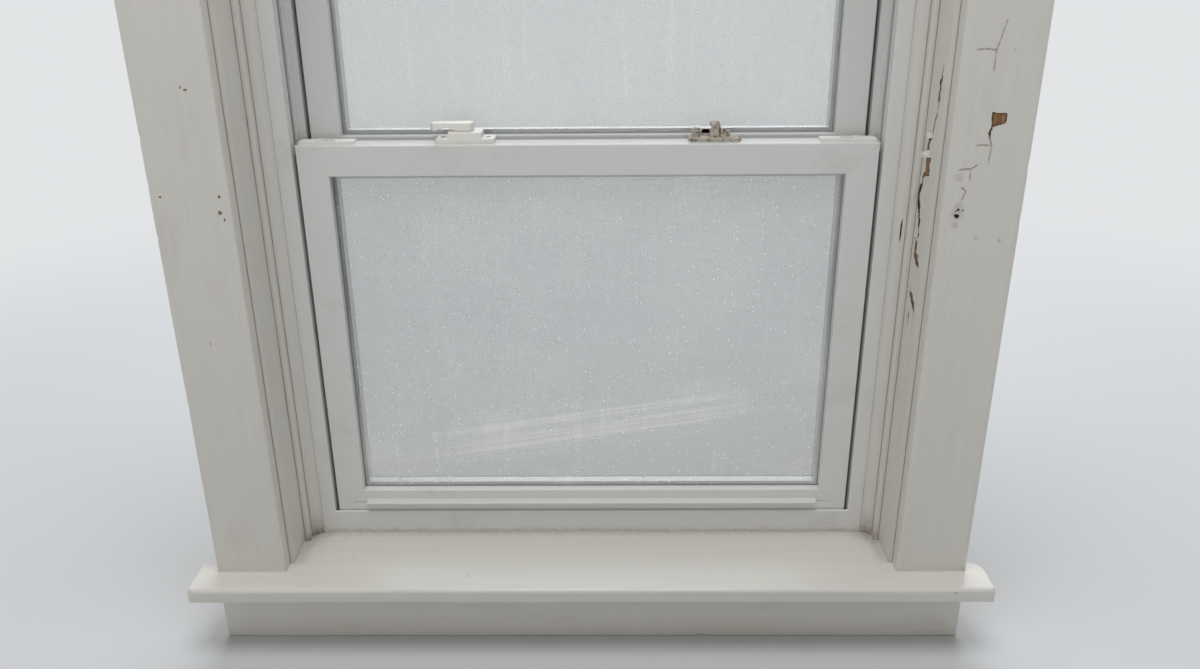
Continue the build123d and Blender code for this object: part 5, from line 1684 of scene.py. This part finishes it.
class SASHWINDOW_OT_wear(bpy.types.Operator):
    """Adds painted caulk, crumbs of paint, nail holes and scars"""

    bl_idname = "sash_window.wear"
    bl_label = "Caulk, crumbs and scars"

    def execute(self, context):
        self.caulk()
        for side in SIDES:
            self.crumbs(side)
        self.scars()
        return {"FINISHED"}

    def caulk(self):
        """Beads at the feet of casings, jambs and stops, and along the foot of the vinyl frame."""
        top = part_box("stool")[1].z
        start = 0.5 * MM
        paths = []
        for side in SIDES:
            casing_low, casing_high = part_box("casing_" + side)
            stop_low, stop_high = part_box("stop_" + side)
            inner, outer = sorted((stop_low.x, stop_high.x), key=abs)
            paths.append(((casing_low.x, casing_low.y, top), (casing_high.x, casing_low.y, top)))
            paths.append(((outer, start, top), (outer, stop_low.y, top)))
            paths.append(((inner, stop_low.y, top), (inner, stop_high.y, top)))
        bead_of_caulk("stool_caulk", paths, radius=0.9 * MM)
        half, sill_face = 360.0 * MM, 70.5 * MM
        foot = ((-half, sill_face, top), (half, sill_face, top))
        bead_of_caulk("sill_caulk", [foot], radius=1.1 * MM)

    def crumbs(self, side):
        """Crumbs of old paint on the stool at the foot of one jamb, from its room edge to the sill."""
        room_edge, sill_edge, pile = -4.0 * MM, 66.0 * MM, 0.6 * MM
        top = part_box("stool")[1].z
        near, far = sorted(SIDES[side] * place for place in (371.0 * MM, 386.0 * MM))
        count, seed = CRUMBS[side]
        values = {
            "Count": count,
            "Low": (near, room_edge, top),
            "High": (far, sill_edge, top + pile),
            "Smallest": (0.3 * MM, 0.3 * MM, 0.2 * MM),
            "Largest": (1.5 * MM, 1.3 * MM, 0.9 * MM),
            "Turn": (0.6, 0.6, 6.28),
            "Seed": seed,
        }
        piece = grown_piece(f"paint_crumbs_{side}", "Scattered lumps", "level_paint", values)
        settle(piece, "frame", "painted_wood")

    def scars(self):
        """Nail holes and scars of both casings, the stool's nick and the slit in the right cove; holes, nick
        and slit are dark plugs in painted shade.
        """
        proud = 0.1
        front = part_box("casing_left")[0].y / MM
        skin_front = front - sizes().paint_skin / MM
        chips("casing_right_nail_hole", "nail_hole", RIGHT_NAIL_HOLES, skin_front, proud)
        chips("casing_left_scars", "upright_old_wood", LEFT_SCARS, front)
        across, up, before_stool = 449.0, 95.3, -79.0
        nose, _ = on_board("stool", (across, before_stool, up), (0.0, 1.0, 0.0))
        chips("stool_nick", "nail_hole", [(across, up, 1.7, 0.35)], nose.y / MM, proud)
        before_cove = (356.0, 52.0, 520.0)
        middle, toward = on_board("cove_right", before_cove, (1.0, 1.0, 0.0))
        slit = chips("cove_right_slit", "nail_hole", [(0.0, 0.0, 1.2, 12.0)], 0.0, proud)
        turn = Matrix.Rotation(math.atan2(toward.x, -toward.y), 4, "Z")
        slit.data.transform(Matrix.Translation(middle) @ turn)


OPERATORS = (
    SASHWINDOW_OT_stage,
    SASHWINDOW_OT_trim,
    SASHWINDOW_OT_vinyl,
    SASHWINDOW_OT_glass,
    SASHWINDOW_OT_locks,
    SASHWINDOW_OT_screen,
    SASHWINDOW_OT_balances,
    SASHWINDOW_OT_wear,
)


class SASHWINDOW_PT_steps(bpy.types.Panel):
    """Lists the window's pieces in the sidebar"""

    bl_idname = "SASHWINDOW_PT_steps"
    bl_label = "Sash window"
    bl_space_type = "VIEW_3D"
    bl_region_type = "UI"
    bl_category = "Sash window"

    def draw(self, context):
        for step in OPERATORS:
            self.layout.operator(step.bl_idname)


CLASSES = (SashWindowColours, SashWindowSizes, *OPERATORS, SASHWINDOW_PT_steps)


def register():
    """Registers the classes and gives the scene its settings."""
    for item in CLASSES:
        bpy.utils.register_class(item)
    bpy.types.Scene.sash_window_colours = bpy.props.PointerProperty(type=SashWindowColours)
    bpy.types.Scene.sash_window_sizes = bpy.props.PointerProperty(type=SashWindowSizes)


def unregister():
    """Takes the settings and the classes away again."""
    del bpy.types.Scene.sash_window_sizes
    del bpy.types.Scene.sash_window_colours
    for item in reversed(CLASSES):
        bpy.utils.unregister_class(item)


def main():
    """Dresses the window."""
    register()
    for step in OPERATORS:
        group, name = step.bl_idname.split(".")
        getattr(getattr(bpy.ops, group), name)()


if __name__ == "__main__":
    main()
